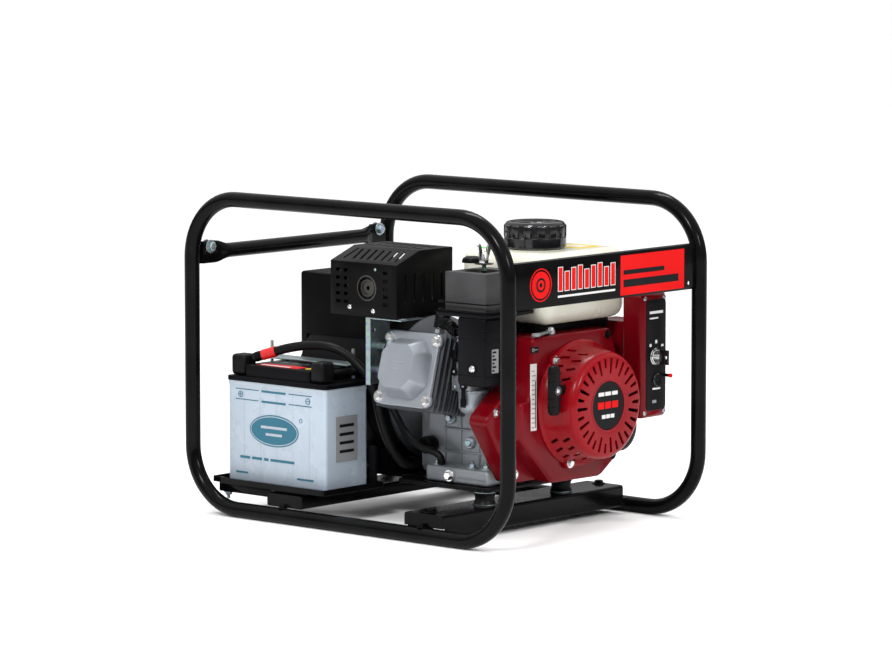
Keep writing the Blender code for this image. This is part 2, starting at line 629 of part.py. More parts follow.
def make_carburettor():
    """Carburettor with its float bowl, and the choke and fuel valve levers on its side."""
    carb = box("carburettor", (-0.102, -0.1357, 0.188), (-0.058, -0.1026, 0.226), CAST_ALUMINIUM, 0.003, 1)
    join(carb, turned("float_bowl", [(0, 0.037), (0.0215, 0.037), (0.0215, 0.012), (0.016, 0.004), (0.005, 0.003),
                                     (0.005, 0), (0, 0)], None, (-0.078, -0.1215, 0.153), steps=20))
    near = -0.102 - GAP
    choke = rod("choke_lever", (near, -0.109, 0.214), -X_AXIS, 0.0027, 0.0055, BLACK_PLASTIC, 16)
    join(choke, box("choke_arm", (near - 0.0027, -0.112, 0.214), (near, -0.106, 0.238)),
         box("choke_tip", (near - 0.0027, -0.1135, 0.237), (near, -0.1045, 0.244)))
    valve = rod("fuel_valve_lever", (near, -0.125, 0.196), -X_AXIS, 0.0027, 0.0055, BLACK_PLASTIC, 16)
    join(valve, box("valve_arm", (near - 0.0027, -0.128, 0.178), (near, -0.122, 0.196)),
         box("valve_tip", (near - 0.0027, -0.1295, 0.172), (near, -0.1205, 0.179)))


def make_throttle_lever():
    """The speed lever above the shroud. Its boss is on the hinge axis."""
    lever = rod("throttle_lever", (-0.010, -0.195, 0.262 + GAP), Z_AXIS, 0.0052, 0.0065, STEEL, 16)
    outline = ((-0.012, -0.200), (-0.0055, -0.193), (-0.048, -0.2035), (-0.0590, -0.2070), (-0.0615, -0.2145),
               (-0.0510, -0.2120))
    join(lever, flat_slab("throttle_arm", sorted_round(outline), (0.2645, 0.2672)))


def sorted_round(outline):
    """The outline's points in anticlockwise order about their middle."""
    middle = sum((Vector(point) for point in outline), Vector((0, 0))) / len(outline)
    return sorted(outline, key=lambda point: math.atan2(point[1] - middle.y, point[0] - middle.x))


def make_air_cleaner():
    """Base with the intake housing and stud, foam element, cover and wing nut."""
    plate_low, plate_high, wall = 0.2907, CLEANER_LOW.z - GAP, Vector((0.0025, 0.0025, 0))
    base = box("air_cleaner_base", (-0.130, -0.186, 0.200), (-0.070, -0.136, 0.293), BLACK_PLASTIC, 0.004, 1)
    join(base, box("base_plate", (CLEANER_LOW.x, CLEANER_LOW.y, plate_low), (CLEANER_HIGH.x, CLEANER_HIGH.y, plate_high)),
         rod("stud", (*STUD, plate_high - 0.002), Z_AXIS, 0.372 - plate_high + 0.002, STUD_R, sides=12))
    cover = box("air_cleaner_cover", CLEANER_LOW - Z_AXIS * 0.01, CLEANER_HIGH, BLACK_PLASTIC, 0.006)
    cut(cover, box("cleaner_trim", CLEANER_LOW - Vector((0.01, 0.01, 0.02)), (0, 0, CLEANER_LOW.z)),
        box("cleaner_inside", CLEANER_LOW + wall - Z_AXIS * 0.02, CLEANER_HIGH - wall - Z_AXIS * 0.0025,
                   edge=0.004, segments=1),
        rod("stud_hole", (*STUD, 0.33), Z_AXIS, 0.05, STUD_R + 0.0004, sides=12))
    element = box("air_filter_element", (-0.122, -0.180, CLEANER_LOW.z), (-0.044, -0.110, 0.348), FOAM)
    cut(element, box("element_hole", (STUD[0] - 0.016, STUD[1] - 0.016, 0.28), (STUD[0] + 0.026, STUD[1] + 0.024, 0.36)))
    nut = turned("wing_nut", [(STUD_R + GAP, 0.0157), (0.0045, 0.0157), (0.0068, 0.006), (0.0068, 0), (STUD_R + GAP, 0)],
                 STEEL, (*STUD, CLEANER_HIGH.z + GAP), steps=16, closed=True)
    for side in (-1, 1):
        low, high = sorted((side * 0.0042, side * 0.011))
        join(nut, box("wing", (STUD[0] + low, STUD[1] - 0.0015, 0.364), (STUD[0] + high, STUD[1] + 0.0015, 0.386)))


def make_fuel_tank():
    """A hollow tank on four feet, with an open neck, the neck's seal and the screw cap."""
    wall, neck_r, neck_in = Vector((0.0025,) * 3), 0.034, 0.022
    tank = box("fuel_tank", TANK_LOW, TANK_HIGH, CREAM_PAINT, 0.016, 2)
    join(tank, rod("neck", (NECK.x, NECK.y, 0.365), Z_AXIS, NECK.z - 0.365, neck_r))
    cut(tank, box("tank_inside", TANK_LOW + wall, TANK_HIGH - wall, edge=0.014, segments=2),
        rod("neck_hole", (NECK.x, NECK.y, 0.350), Z_AXIS, 0.04, neck_in))
    for x in (-0.006, 0.084):
        for y in (-0.135, -0.075):
            join(tank, box("tank_foot", (x, y, 0.245 + GAP), (x + 0.012, y + 0.008, TANK_LOW.z + 0.001)))
    seal_low, seal = NECK.z + GAP, 0.0014
    turned("cap_seal", [(0.023, seal), (neck_r, seal), (neck_r, 0), (0.023, 0)], RUBBER, (NECK.x, NECK.y, seal_low),
           steps=24, closed=True)
    turned("fuel_cap", [(0, 0.025), (0.036, 0.025), (0.0400, 0.021), (0.0415, 0.004), (0.0415, -0.009), (0.0370, -0.009),
                        (0.0370, 0), (0, 0)], BLACK_PLASTIC, (NECK.x, NECK.y, seal_low + seal + GAP), steps=32)


def make_exhaust():
    """Silencer on its bracket, under a slotted guard."""
    shelf, web_y = 0.280, 0.0135
    bracket = box("muffler_bracket", (-0.1415, 0.0055, 0.190), (-0.0950, web_y, shelf), GALVANISED)
    cut(bracket, box("bracket_inside", (-0.1400, 0.0, 0.18), (-0.09, web_y - 0.0015, shelf - 0.0015)))
    join(bracket, box("bracket_shelf", (-0.1415, -0.050, shelf - 0.0015), (-0.0950, web_y, shelf)))
    for z in (0.208, 0.240):
        join(bracket, rod("bracket_spacer", (-0.1180, web_y - 0.001, z), -Y_AXIS, web_y - 0.001 + 0.002 - GAP, 0.005,
                          sides=16))
    outlet = Vector((-0.139, 0.013, 0.3185))
    muffler = box("muffler", (-0.128, -0.028, 0.296), (-0.040, 0.066, 0.350), CAST_IRON, 0.012)
    join(muffler, rod("outlet", outlet, X_AXIS, 0.020, 0.012),
         rod("exhaust_neck", (-0.110, -0.012, shelf + GAP), Z_AXIS, 0.020, 0.011))
    cut(muffler, rod("outlet_bore", outlet - X_AXIS * 0.01, X_AXIS, 0.026, 0.0095))
    make_guard(shelf + GAP, outlet)


def make_guard(low, outlet):
    left, right, top, shoulder, sheet = -0.140, -0.028, 0.369, 0.352, 0.0016
    front, back = -0.040, 0.078
    outline = ((left, low), (right, low), (right, top), (-0.094, top), (left, shoulder))
    guard = front_slab("muffler_guard", outline, (front, back), BLACK_PAINT)
    inner = ((left + sheet, low - 0.02), (right + 0.02, low - 0.02), (right + 0.02, top - sheet),
             (-0.094 + 0.0003, top - sheet), (left + sheet, shoulder - 0.0011))
    cut(guard, front_slab("guard_inside", inner, (front + sheet, back - sheet)),
        rod("outlet_hole", outlet - X_AXIS * 0.01, X_AXIS, 0.02, 0.015))
    for i in range(6):
        y = -0.022 + 0.010 * i
        cut(guard, box("vent", (-0.132, y, 0.345), (-0.104, y + 0.004, 0.375)))


def make_oil_cap():
    turned("oil_filler_cap", [(0, 0.0157), (0.010, 0.0157), (0.012, 0.013), (0.012, 0), (0.0075, 0), (0.0075, -0.010),
                              (0, -0.010)], BLACK_PLASTIC, (-0.052 - GAP, -0.025, 0.105), -X_AXIS, 20)


# Alternator

def make_alternator():
    """Bell, outer shell with the rear bearing's hub, wound stator, and rotor."""
    bell_low = COVER_BACK + GAP
    length = BELL_BACK - bell_low
    turned("alternator_bell", [(0.093, length), (SHELL_R, length), (SHELL_R, length - 0.004), (0.070, 0), (0.015, 0),
                               (0.015, 0.005), (0.067, 0.005), (0.093, length - 0.003)], CAST_ALUMINIUM,
           crank_point(bell_low), Y_AXIS, SHELL_STEPS, closed=True)
    shell_low = BELL_BACK + GAP
    length, wall, hub = SHELL_BACK - shell_low, 0.003, 0.160 - shell_low
    turned("alternator_shell", [(0, length), (SHELL_R - 0.006, length), (SHELL_R, length - 0.006), (SHELL_R, 0),
                                (0.092, 0), (0.092, length - wall), (0.022, length - wall), (0.022, hub), (0.013, hub),
                                (0.013, length - wall), (0, length - wall)], BLACK_PAINT,
           crank_point(shell_low), Y_AXIS, SHELL_STEPS)
    turned("alternator_stator", [(0.060, 0.090), (0.0915, 0.090), (0.0915, 0), (0.060, 0)], COPPER, crank_point(0.060),
           Y_AXIS, 32, closed=True)
    turned("alternator_rotor", [(SHAFT_R + GAP, 0.086), (0.0594, 0.086), (0.0594, 0), (SHAFT_R + GAP, 0)], STEEL,
           crank_point(0.062), Y_AXIS, 32, closed=True)


def make_outlets():
    """The outlet box that sits astride the shell, two sprung lids and the breaker's button."""
    low, high, wall = Vector((-0.040, 0.080, 0.215)), Vector((0.105, PANEL_BACK, 0.320)), 0.003
    outlets = box("outlet_box", low, high, BLACK_PAINT, 0.003, 1)
    cut(outlets, box("box_inside", (low.x + wall, low.y - 0.01, low.z + wall), (high.x - wall, 0.195, high.z - wall)),
        crank_disc("shell_room", (low.y - 0.01, SHELL_BACK + 0.0004), SHELL_R + 0.0004, sides=SHELL_STEPS))
    hinge_y, hinge_z, socket_z = PANEL_BACK + 0.0035, 0.295, 0.268
    for side, x in (("left", -0.005), ("right", 0.062)):
        cut(outlets, rod("well", (x, PANEL_BACK - 0.0105, socket_z), Y_AXIS, 0.02, 0.024))
        lid = rod("socket_lid_" + side, (x - 0.010, hinge_y, hinge_z), X_AXIS, 0.020, 0.003, BLACK_PLASTIC, 12)
        join(lid, rod("lid_disc", (x, PANEL_BACK + GAP, socket_z), Y_AXIS, 0.008, 0.026),
             box("lid_web", (x - 0.0095, PANEL_BACK + 0.001, 0.288), (x + 0.0095, PANEL_BACK + 0.006, 0.296)),
             box("lid_lip", (x - 0.006, PANEL_BACK + 0.003, 0.239), (x + 0.006, PANEL_BACK + 0.008, 0.245)))
    button = Vector((0.0285, 0.216, 0.306))
    cut(outlets, rod("button_hole", button - Y_AXIS * 0.006, Y_AXIS, 0.03, 0.006, sides=20))
    rod("breaker_button", button, Y_AXIS, 0.017, 0.0055, BLACK_PLASTIC, 20)


def main():
    make_hoops()
    make_rear_cross_tube()
    make_front_plate()
    make_front_base_rail()
    make_rear_base_rail()
    make_cradle()
    make_battery_tray()
    make_battery()
    make_battery_clamp()
    make_cables()
    frame = cylinder_frame()
    make_crankcase(frame)
    make_side_cover()
    make_head(frame)
    make_piston(frame)
    make_spark_plug(frame)
    make_crankshaft()
    make_flywheel()
    make_fan_shroud()
    make_recoil_starter()
    make_starter_motor()
    make_control_box()
    make_carburettor()
    make_throttle_lever()
    make_air_cleaner()
    make_fuel_tank()
    make_exhaust()
    make_oil_cap()
    make_alternator()
    make_outlets()


main()
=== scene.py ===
"""Looks for the portable generator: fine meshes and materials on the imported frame.

Metres, +Z up, the same frame as the CAD. -X is the battery's side, -Y the recoil starter's end.
"""
import json
import math

import bmesh
import bpy
from mathutils import Matrix, Vector


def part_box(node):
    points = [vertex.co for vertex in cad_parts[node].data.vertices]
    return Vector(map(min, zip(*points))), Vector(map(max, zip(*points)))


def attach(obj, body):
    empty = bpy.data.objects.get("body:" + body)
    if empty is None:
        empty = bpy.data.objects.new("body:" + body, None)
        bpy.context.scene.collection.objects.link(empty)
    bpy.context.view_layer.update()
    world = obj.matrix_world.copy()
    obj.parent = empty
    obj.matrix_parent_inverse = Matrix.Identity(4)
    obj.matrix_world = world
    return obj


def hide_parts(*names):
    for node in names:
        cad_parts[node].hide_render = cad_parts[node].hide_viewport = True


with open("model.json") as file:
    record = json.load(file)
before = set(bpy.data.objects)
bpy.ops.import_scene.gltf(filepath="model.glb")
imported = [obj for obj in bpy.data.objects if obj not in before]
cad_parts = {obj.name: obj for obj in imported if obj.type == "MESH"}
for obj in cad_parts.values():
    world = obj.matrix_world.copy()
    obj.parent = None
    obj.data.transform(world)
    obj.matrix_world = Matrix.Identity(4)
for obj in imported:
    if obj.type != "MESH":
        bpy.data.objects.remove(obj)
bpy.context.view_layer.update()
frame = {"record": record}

X = Vector((1, 0, 0))
Y = Vector((0, 1, 0))
Z = Vector((0, 0, 1))
CRANK_X, CRANK_Z = 0.033, 0.1685
CYL_Y = -0.052
LEAN = math.radians(16)
TUBE_R = 0.01065
TUBE_AXIS_Z = TUBE_R * math.cos(math.pi / 12)
SKIN = 0.0003


# Materials

def ramp(nodes, low, high, start=0.35, end=0.65):
    """A colour ramp node between two colours."""
    node = nodes.new("ShaderNodeValToRGB")
    node.color_ramp.elements[0].position = start
    node.color_ramp.elements[1].position = end
    node.color_ramp.elements[0].color = (*low, 1)
    node.color_ramp.elements[1].color = (*high, 1)
    return node


def noise(tree, scale, detail=4.0, kind="ShaderNodeTexNoise"):
    """A noise node on the object's own coordinates."""
    node = tree.nodes.new(kind)
    node.inputs["Scale"].default_value = scale
    if "Detail" in node.inputs:
        node.inputs["Detail"].default_value = detail
    tree.links.new(tree.nodes["Place"].outputs["Object"], node.inputs["Vector"])
    return node


def finish(name, colour, rough, metallic=0.0, tint=0.12, tint_scale=14, rough_var=0.08, grain=700, bump=0.05,
           coat=0.0, dust=0.0, dust_colour=(0.35, 0.33, 0.3), cells=0, specular=0.5, ior=1.5):
    """A surface whose colour and roughness drift slowly, with fine grain and optional dust or cells."""
    made = bpy.data.materials.new(name)
    made.use_nodes = True
    tree = made.node_tree
    shader = tree.nodes["Principled BSDF"]
    shader.inputs["Metallic"].default_value = metallic
    shader.inputs["Coat Weight"].default_value = coat
    shader.inputs["Coat Roughness"].default_value = 0.08
    shader.inputs["Specular IOR Level"].default_value = specular
    shader.inputs["IOR"].default_value = ior
    place = tree.nodes.new("ShaderNodeTexCoord")
    place.name = "Place"
    drift = noise(tree, tint_scale, 5)
    low = [c * (1 - tint) for c in colour]
    high = [min(1, c * (1 + tint) + 0.002) for c in colour]
    tone = ramp(tree.nodes, low, high)
    tree.links.new(drift.outputs["Fac"], tone.inputs["Fac"])
    colour_out = tone.outputs["Color"]
    if cells:
        spangle = noise(tree, cells, kind="ShaderNodeTexVoronoi")
        tone_cells = tree.nodes.new("ShaderNodeMix")
        tone_cells.data_type = "RGBA"
        tone_cells.blend_type = "MULTIPLY"
        tone_cells.inputs["Factor"].default_value = 0.35
        tree.links.new(colour_out, tone_cells.inputs["A"])
        tree.links.new(spangle.outputs["Color"], tone_cells.inputs["B"])
        colour_out = tone_cells.outputs["Result"]
    if dust:
        speck = noise(tree, 55, 8)
        mask = ramp(tree.nodes, (0, 0, 0), (dust, dust, dust), 0.5, 0.75)
        blend = tree.nodes.new("ShaderNodeMix")
        blend.data_type = "RGBA"
        blend.inputs["B"].default_value = (*dust_colour, 1)
        tree.links.new(speck.outputs["Fac"], mask.inputs["Fac"])
        tree.links.new(mask.outputs["Color"], blend.inputs["Factor"])
        tree.links.new(colour_out, blend.inputs["A"])
        colour_out = blend.outputs["Result"]
    tree.links.new(colour_out, shader.inputs["Base Color"])
    smear = noise(tree, tint_scale * 4, 6)
    span = tree.nodes.new("ShaderNodeMapRange")
    span.inputs["To Min"].default_value = max(0.03, rough - rough_var)
    span.inputs["To Max"].default_value = min(1, rough + rough_var)
    tree.links.new(smear.outputs["Fac"], span.inputs["Value"])
    tree.links.new(span.outputs["Result"], shader.inputs["Roughness"])
    fine = noise(tree, grain, 3)
    relief = tree.nodes.new("ShaderNodeBump")
    relief.inputs["Strength"].default_value = bump
    relief.inputs["Distance"].default_value = 0.0005
    tree.links.new(fine.outputs["Fac"], relief.inputs["Height"])
    tree.links.new(relief.outputs["Normal"], shader.inputs["Normal"])
    return made


BLACK_PAINT = finish("black_paint", (0.0016, 0.0016, 0.0019), 0.16, grain=240, bump=0.03, rough_var=0.05,
                     specular=0.075)
SATIN_BLACK = finish("satin_black", (0.0022, 0.0022, 0.0026), 0.34, grain=900, bump=0.10, specular=0.055)
BLACK_PLASTIC = finish("black_plastic", (0.0026, 0.0026, 0.0034), 0.32, grain=1400, bump=0.12, specular=0.065)
GLOSS_PLASTIC = finish("gloss_plastic", (0.006, 0.006, 0.007), 0.15, grain=300, bump=0.02, specular=0.5)
RUBBER = finish("rubber", (0.0035, 0.0035, 0.004), 0.40, grain=1000, bump=0.10, dust=0.006, specular=0.10)
MAROON = finish("maroon_paint", (0.125, 0.0008, 0.0038), 0.20, tint=0.08, grain=260, bump=0.03, specular=0.13)
RED = finish("red_paint", (0.215, 0.0010, 0.0045), 0.22, tint=0.08, grain=260, bump=0.03, specular=0.15)
CREAM = finish("cream_paint", (0.60, 0.595, 0.50), 0.25, tint=0.03, grain=260, bump=0.02, coat=0.2)
CAST = finish("cast_aluminium", (0.20, 0.215, 0.232), 0.46, 0.6, tint=0.15, grain=900, bump=0.35, dust=0.10,
              dust_colour=(0.07, 0.07, 0.07))
SILVER = finish("silver_paint", (0.265, 0.285, 0.315), 0.38, 0.5, tint=0.06, grain=1200, bump=0.12)
ZINC = finish("zinc_plate", (0.30, 0.36, 0.375), 0.34, 0.85, tint=0.10, grain=500, bump=0.06, cells=260)
CHROME = finish("bright_steel", (0.62, 0.62, 0.62), 0.18, 1.0, tint=0.05, grain=500, bump=0.03)
STEEL = finish("machined_steel", (0.40, 0.40, 0.41), 0.32, 0.9, grain=900, bump=0.1)
IRON = finish("cast_iron", (0.07, 0.07, 0.075), 0.62, 0.6, tint=0.25, grain=500, bump=0.4)
COPPER = finish("windings", (0.30, 0.09, 0.035), 0.35, 0.5, tint=0.3, grain=300, bump=0.5)
FOAM = finish("foam", (0.04, 0.04, 0.042), 0.95, tint=0.3, grain=450, bump=1.0)
RED_BAND = finish("red_band", (0.50, 0.004, 0.004), 0.45, tint=0.05)
PRINT_RED = finish("print_red", (0.56, 0.002, 0.002), 0.38, tint=0.04, specular=0.08)
PRINT_WHITE = finish("print_white", (0.58, 0.58, 0.57), 0.4, tint=0.03)
PRINT_BLACK = finish("print_black", (0.004, 0.004, 0.005), 0.35, tint=0.05, specular=0.08)
PRINT_GREY = finish("print_grey", (0.20, 0.205, 0.21), 0.45, tint=0.06)
PRINT_YELLOW = finish("print_yellow", (0.62, 0.42, 0.01), 0.4, tint=0.04)
PRINT_GREEN = finish("print_green", (0.05, 0.55, 0.06), 0.4, tint=0.04)
PRINT_TEAL = finish("print_teal", (0.004, 0.105, 0.165), 0.4, tint=0.05)
# A darker copy of the cast aluminium: painted shade among the fins of the cylinder and head and the ribs of
# the alternator bell.
SHADED_CAST = finish("shaded_aluminium", (0.055, 0.060, 0.068), 0.5, 0.6, tint=0.25, grain=900, bump=0.35)
DARK_STEEL = finish("muffler_steel", (0.05, 0.048, 0.045), 0.5, 0.7, tint=0.3, grain=400, bump=0.15)


def battery_plastic():
    """Milky plastic that lets a little light in."""
    made = finish("battery_plastic", (0.36, 0.42, 0.49), 0.28, tint=0.05, tint_scale=9, grain=500, bump=0.04)
    shader = made.node_tree.nodes["Principled BSDF"]
    shader.inputs["Subsurface Weight"].default_value = 0.2
    shader.inputs["Subsurface Radius"].default_value = (0.010, 0.012, 0.016)
    shader.inputs["Subsurface Scale"].default_value = 0.6
    return made


CASE = battery_plastic()


# Shapes

def put(name, data):
    """A new object in the scene that holds the data."""
    made = bpy.data.objects.new(name, data)
    bpy.context.scene.collection.objects.link(made)
    return made


class Shape:
    """A mesh put together from solids, each with its own material."""

    def __init__(self):
        self.bm = bmesh.new()
        self.finishes = []

    def add(self, mesh, material, matrix=None):
        """Take a mesh in and give all its faces one material."""
        if material not in self.finishes:
            self.finishes.append(material)
        index = self.finishes.index(material)
        if matrix is not None:
            mesh.transform(matrix)
        before = len(self.bm.faces)
        self.bm.from_mesh(mesh)
        self.bm.faces.ensure_lookup_table()
        for face in self.bm.faces[before:]:
            face.material_index = index
        bpy.data.meshes.remove(mesh)
        return self

    def place(self, node, sharp=32):
        """Make the object, ride it on its node's body and let it stand for that node."""
        mesh = bpy.data.meshes.new(node + "_fine")
        bmesh.ops.recalc_face_normals(self.bm, faces=self.bm.faces)
        self.bm.to_mesh(mesh)
        self.bm.free()
        for material in self.finishes:
            mesh.materials.append(material)
        mesh.shade_smooth()
        mesh.set_sharp_from_angle(angle=math.radians(sharp))
        made = put(node + "_fine", mesh)
        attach(made, BODIES.get(node, "generator"))
        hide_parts(node)
        return made


BODIES = {node: body for body, nodes in frame["record"]["behaviour"]["bodies"].items() for node in nodes}


def mesh_from(bm, name="solid"):
    """The mesh of a bmesh, which is freed."""
    mesh = bpy.data.meshes.new(name)
    bm.to_mesh(mesh)
    bm.free()
    return mesh


def cuboid(low, high, edge=0.0, segments=2, matrix=None):
    """A box between two corners with rounded edges."""
    low, high = Vector(low), Vector(high)
    bm = bmesh.new()
    bmesh.ops.create_cube(bm, size=1.0)
    bmesh.ops.scale(bm, vec=high - low, verts=bm.verts)
    bmesh.ops.translate(bm, vec=(low + high) / 2, verts=bm.verts)
    if edge:
        bmesh.ops.bevel(bm, geom=bm.edges[:], offset=edge, segments=segments, profile=0.5, affect="EDGES")
    mesh = mesh_from(bm)
    if matrix is not None:
        mesh.transform(matrix)
    return mesh


def lathe(profile, origin=(0, 0, 0), direction=Z, steps=64, closed=False, turn=0.0):
    """Turn (radius, height) points about the axis that leaves origin in a direction."""
    bm = bmesh.new()
    rows = []
    for radius, height in profile:
        if radius < 1e-7:
            rows.append([bm.verts.new((0, 0, height))])
            continue
        angles = [turn + 2 * math.pi * i / steps for i in range(steps)]
        rows.append([bm.verts.new((radius * math.cos(a), radius * math.sin(a), height)) for a in angles])
    pairs = list(zip(rows, rows[1:])) + ([(rows[-1], rows[0])] if closed else [])
    for first, second in pairs:
        for i in range(steps):
            j = (i + 1) % steps
            corners = [first[i % len(first)], first[j % len(first)], second[j % len(second)],
                       second[i % len(second)]]
            corners = list(dict.fromkeys(corners))
            if len(corners) > 2:
                bm.faces.new(corners)
    bmesh.ops.recalc_face_normals(bm, faces=bm.faces)
    mesh = mesh_from(bm)
    mesh.transform(Matrix.Translation(Vector(origin)) @ direction.to_track_quat("Z",
        "Y").to_matrix().to_4x4())
    return mesh


def rod(start, direction, length, radius, edge=0.0004, sides=32, end_radius=None):
    """A cylinder or cone with softened rims."""
    end = radius if end_radius is None else end_radius
    edge = min(edge, radius / 2, length / 2)
    profile = [(0, length), (end - edge, length), (end, length - edge), (radius, edge), (radius - edge, 0),
               (0, 0)]
    return lathe(profile, start, Vector(direction).normalized(), sides)


def ring(centre, direction, inner, outer, thick, sides=48):
    """A flat ring with a softened outer rim."""
    edge = min(0.0004, thick / 4)
    profile = [(inner, thick), (outer - edge, thick), (outer, thick - edge), (outer, 0), (inner, 0)]
    return lathe(profile, centre, Vector(direction).normalized(), sides, closed=True)


ALONG = {"X": lambda a, b, c: (c, a, b), "Y": lambda a, b, c: (a, c, b), "Z": lambda a, b, c: (a, b, c)}


def prism(outline, low, high, axis="Y", edge=0.0, segments=2):
    """An outline of (x, z) points run along Y, of (x, y) run along Z, or of (y, z) run along X."""
    bm = bmesh.new()
    bottom = [bm.verts.new(ALONG[axis](a, b, low)) for a, b in outline]
    top = [bm.verts.new(ALONG[axis](a, b, high)) for a, b in outline]
    bm.faces.new(bottom)
    bm.faces.new(list(reversed(top)))
    for i in range(len(outline)):
        j = (i + 1) % len(outline)
        bm.faces.new((bottom[i], top[i], top[j], bottom[j]))
    bmesh.ops.recalc_face_normals(bm, faces=bm.faces)
    if edge:
        bmesh.ops.bevel(bm, geom=bm.edges[:], offset=edge, segments=segments, profile=0.5, affect="EDGES")
    return mesh_from(bm)


def inset(outline, amount):
    """Move every side of an anticlockwise outline inwards by the same amount."""
    corners = [Vector(point) for point in outline]
    moved = []
    for before, corner, after in zip([corners[-1]] + corners, corners, corners[1:] + corners[:1]):
        first, second = (corner - before).normalized(), (after - corner).normalized()
        inward = Vector((-first.y, first.x)) + Vector((-second.y, second.x))
        moved.append(tuple(corner + inward * (amount * 2 / inward.length_squared)))
    return moved


def rounded(outline, radius, steps=4):
    """The outline with its corners rounded."""
    corners = [Vector(point) for point in outline]
    points = []
    for before, corner, after in zip([corners[-1]] + corners, corners, corners[1:] + corners[:1]):
        reach = min(radius, (before - corner).length * 0.45, (after - corner).length * 0.45)
        start = corner + (before - corner).normalized() * reach
        end = corner + (after - corner).normalized() * reach
        for step in range(steps + 1):
            t = step / steps
            points.append(tuple(start * (1 - t) ** 2 + corner * 2 * t * (1 - t) + end * t ** 2))
    return points


def circle(x, y, radius_x, radius_y=None, count=48):
    """The points of a circle or an ellipse."""
    radius_y = radius_x if radius_y is None else radius_y
    angles = [2 * math.pi * i / count for i in range(count)]
    return [(x + radius_x * math.cos(a), y + radius_y * math.sin(a)) for a in angles]


def boolean(mesh, others, operation="DIFFERENCE"):
    """Cut meshes from a mesh, or join them to it, and return the result."""
    base = put("base", mesh)
    tools = []
    for other in others:
        tool = put("tool", other)
        mod = base.modifiers.new("tool", "BOOLEAN")
        mod.object, mod.operation, mod.solver = tool, operation, "EXACT"
        tools.append(tool)
    bpy.context.view_layer.update()
    result = bpy.data.meshes.new_from_object(base.evaluated_get(bpy.context.evaluated_depsgraph_get()))
    for tool in tools + [base]:
        data = tool.data
        bpy.data.objects.remove(tool)
        bpy.data.meshes.remove(data)
    return result


def cut(mesh, *others):
    """The mesh with the others cut away."""
    return boolean(mesh, others)


def sweep(points, radius, sides=20, cyclic=False, tilt=0.0):
    """A round tube along points, with flat ends."""
    data = bpy.data.curves.new("sweep", "CURVE")
    data.dimensions = "3D"
    data.bevel_depth = radius
    data.bevel_resolution = sides // 2 - 2
    data.use_fill_caps = not cyclic
    spline = data.splines.new("POLY")
    spline.points.add(len(points) - 1)
    for target, point in zip(spline.points, points):
        target.co = (*point, 1)
        target.tilt = tilt
    spline.use_cyclic_u = cyclic
    made = put("sweep", data)
    bpy.context.view_layer.update()
    mesh = bpy.data.meshes.new_from_object(made.evaluated_get(bpy.context.evaluated_depsgraph_get()))
    bpy.data.objects.remove(made)
    bpy.data.curves.remove(data)
    bm = bmesh.new()
    bm.from_mesh(mesh)
    bmesh.ops.remove_doubles(bm, verts=bm.verts, dist=0.00001)
    bm.to_mesh(mesh)
    bm.free()
    return mesh


def smooth_route(points, per_span):
    """Points along a smooth curve that passes through the given ones."""
    knots = [Vector(point) for point in points]
    knots = [2 * knots[0] - knots[1]] + knots + [2 * knots[-1] - knots[-2]]
    route = []
    for a, b, c, d in zip(knots, knots[1:], knots[2:], knots[3:]):
        for step in range(per_span):
            t = step / per_span
            curve = 2 * b + (c - a) * t + (2 * a - 5 * b + 4 * c - d) * t ** 2
            route.append(0.5 * (curve + (3 * b - a - 3 * c + d) * t ** 3))
    route.append(knots[-2])
    return route


def crank_point(y):
    """A point on the crankshaft's axis."""
    return Vector((CRANK_X, y, CRANK_Z))


def cylinder_matrix():
    """The frame of the leaning cylinder: its +Z runs up the bore, its +X is the upper side."""
    return Matrix.Translation(crank_point(CYL_Y)) @ Matrix.Rotation(LEAN - math.pi / 2, 4, "Y")


def merge(meshes):
    """Several meshes in one, without joining their surfaces."""
    bm = bmesh.new()
    for mesh in meshes:
        bm.from_mesh(mesh)
        bpy.data.meshes.remove(mesh)
    return mesh_from(bm)


def domed(outline, base, top, radius, axis="Y", steps=4):
    """An anticlockwise outline run from base to top, with the rim at the top rounded over."""
    way = 1 if top > base else -1
    layers = [(outline, base)]
    for step in range(steps + 1):
        angle = math.pi / 2 * step / steps
        layers.append((inset(outline, radius * (1 - math.cos(angle))),
                       top - way * radius * (1 - math.sin(angle))))
    return loft(layers, axis)


def loft(layers, axis="Z"):
    """A solid through outlines, each with its own height along the axis."""
    bm = bmesh.new()
    rows = [[bm.verts.new(ALONG[axis](a, b, height)) for a, b in outline] for outline, height in layers]
    for first, second in zip(rows, rows[1:]):
        for i in range(len(first)):
            j = (i + 1) % len(first)
            bm.faces.new((first[i], first[j], second[j], second[i]))
    bm.faces.new(rows[0])
    bm.faces.new(rows[-1])
    bmesh.ops.recalc_face_normals(bm, faces=bm.faces)
    return mesh_from(bm)


def thread(start, direction, length, radius, pitch=0.0008):
    """A screw thread drawn as close rings."""
    count = int(length / pitch)
    profile = [(0, length)]
    for i in range(count):
        top = length - i * pitch
        profile += [(radius * 0.86, top), (radius, top - pitch / 2)]
    profile += [(radius * 0.86, length - count * pitch), (0, length - count * pitch)]
    return lathe(profile, start, Vector(direction).normalized(), 20)


def add_bolt(shape, centre, direction, radius=0.005, height=0.0035, material=None, washer=None, matrix=None):
    """A hexagon head with a chamfered top, on a washer unless that is 0."""
    material = material or ZINC
    direction = Vector(direction).normalized()
    washer = radius * 1.35 if washer is None else washer
    head = [(0, height), (radius * 0.80, height), (radius, height - radius * 0.18), (radius, 0), (0, 0)]
    seat = Vector(centre) + direction * (0.001 if washer else 0)
    shape.add(lathe(head, seat, direction, 6), material, matrix)
    if washer:
        shape.add(rod(centre, direction, 0.0012, washer, 0.0003, 24), material, matrix)


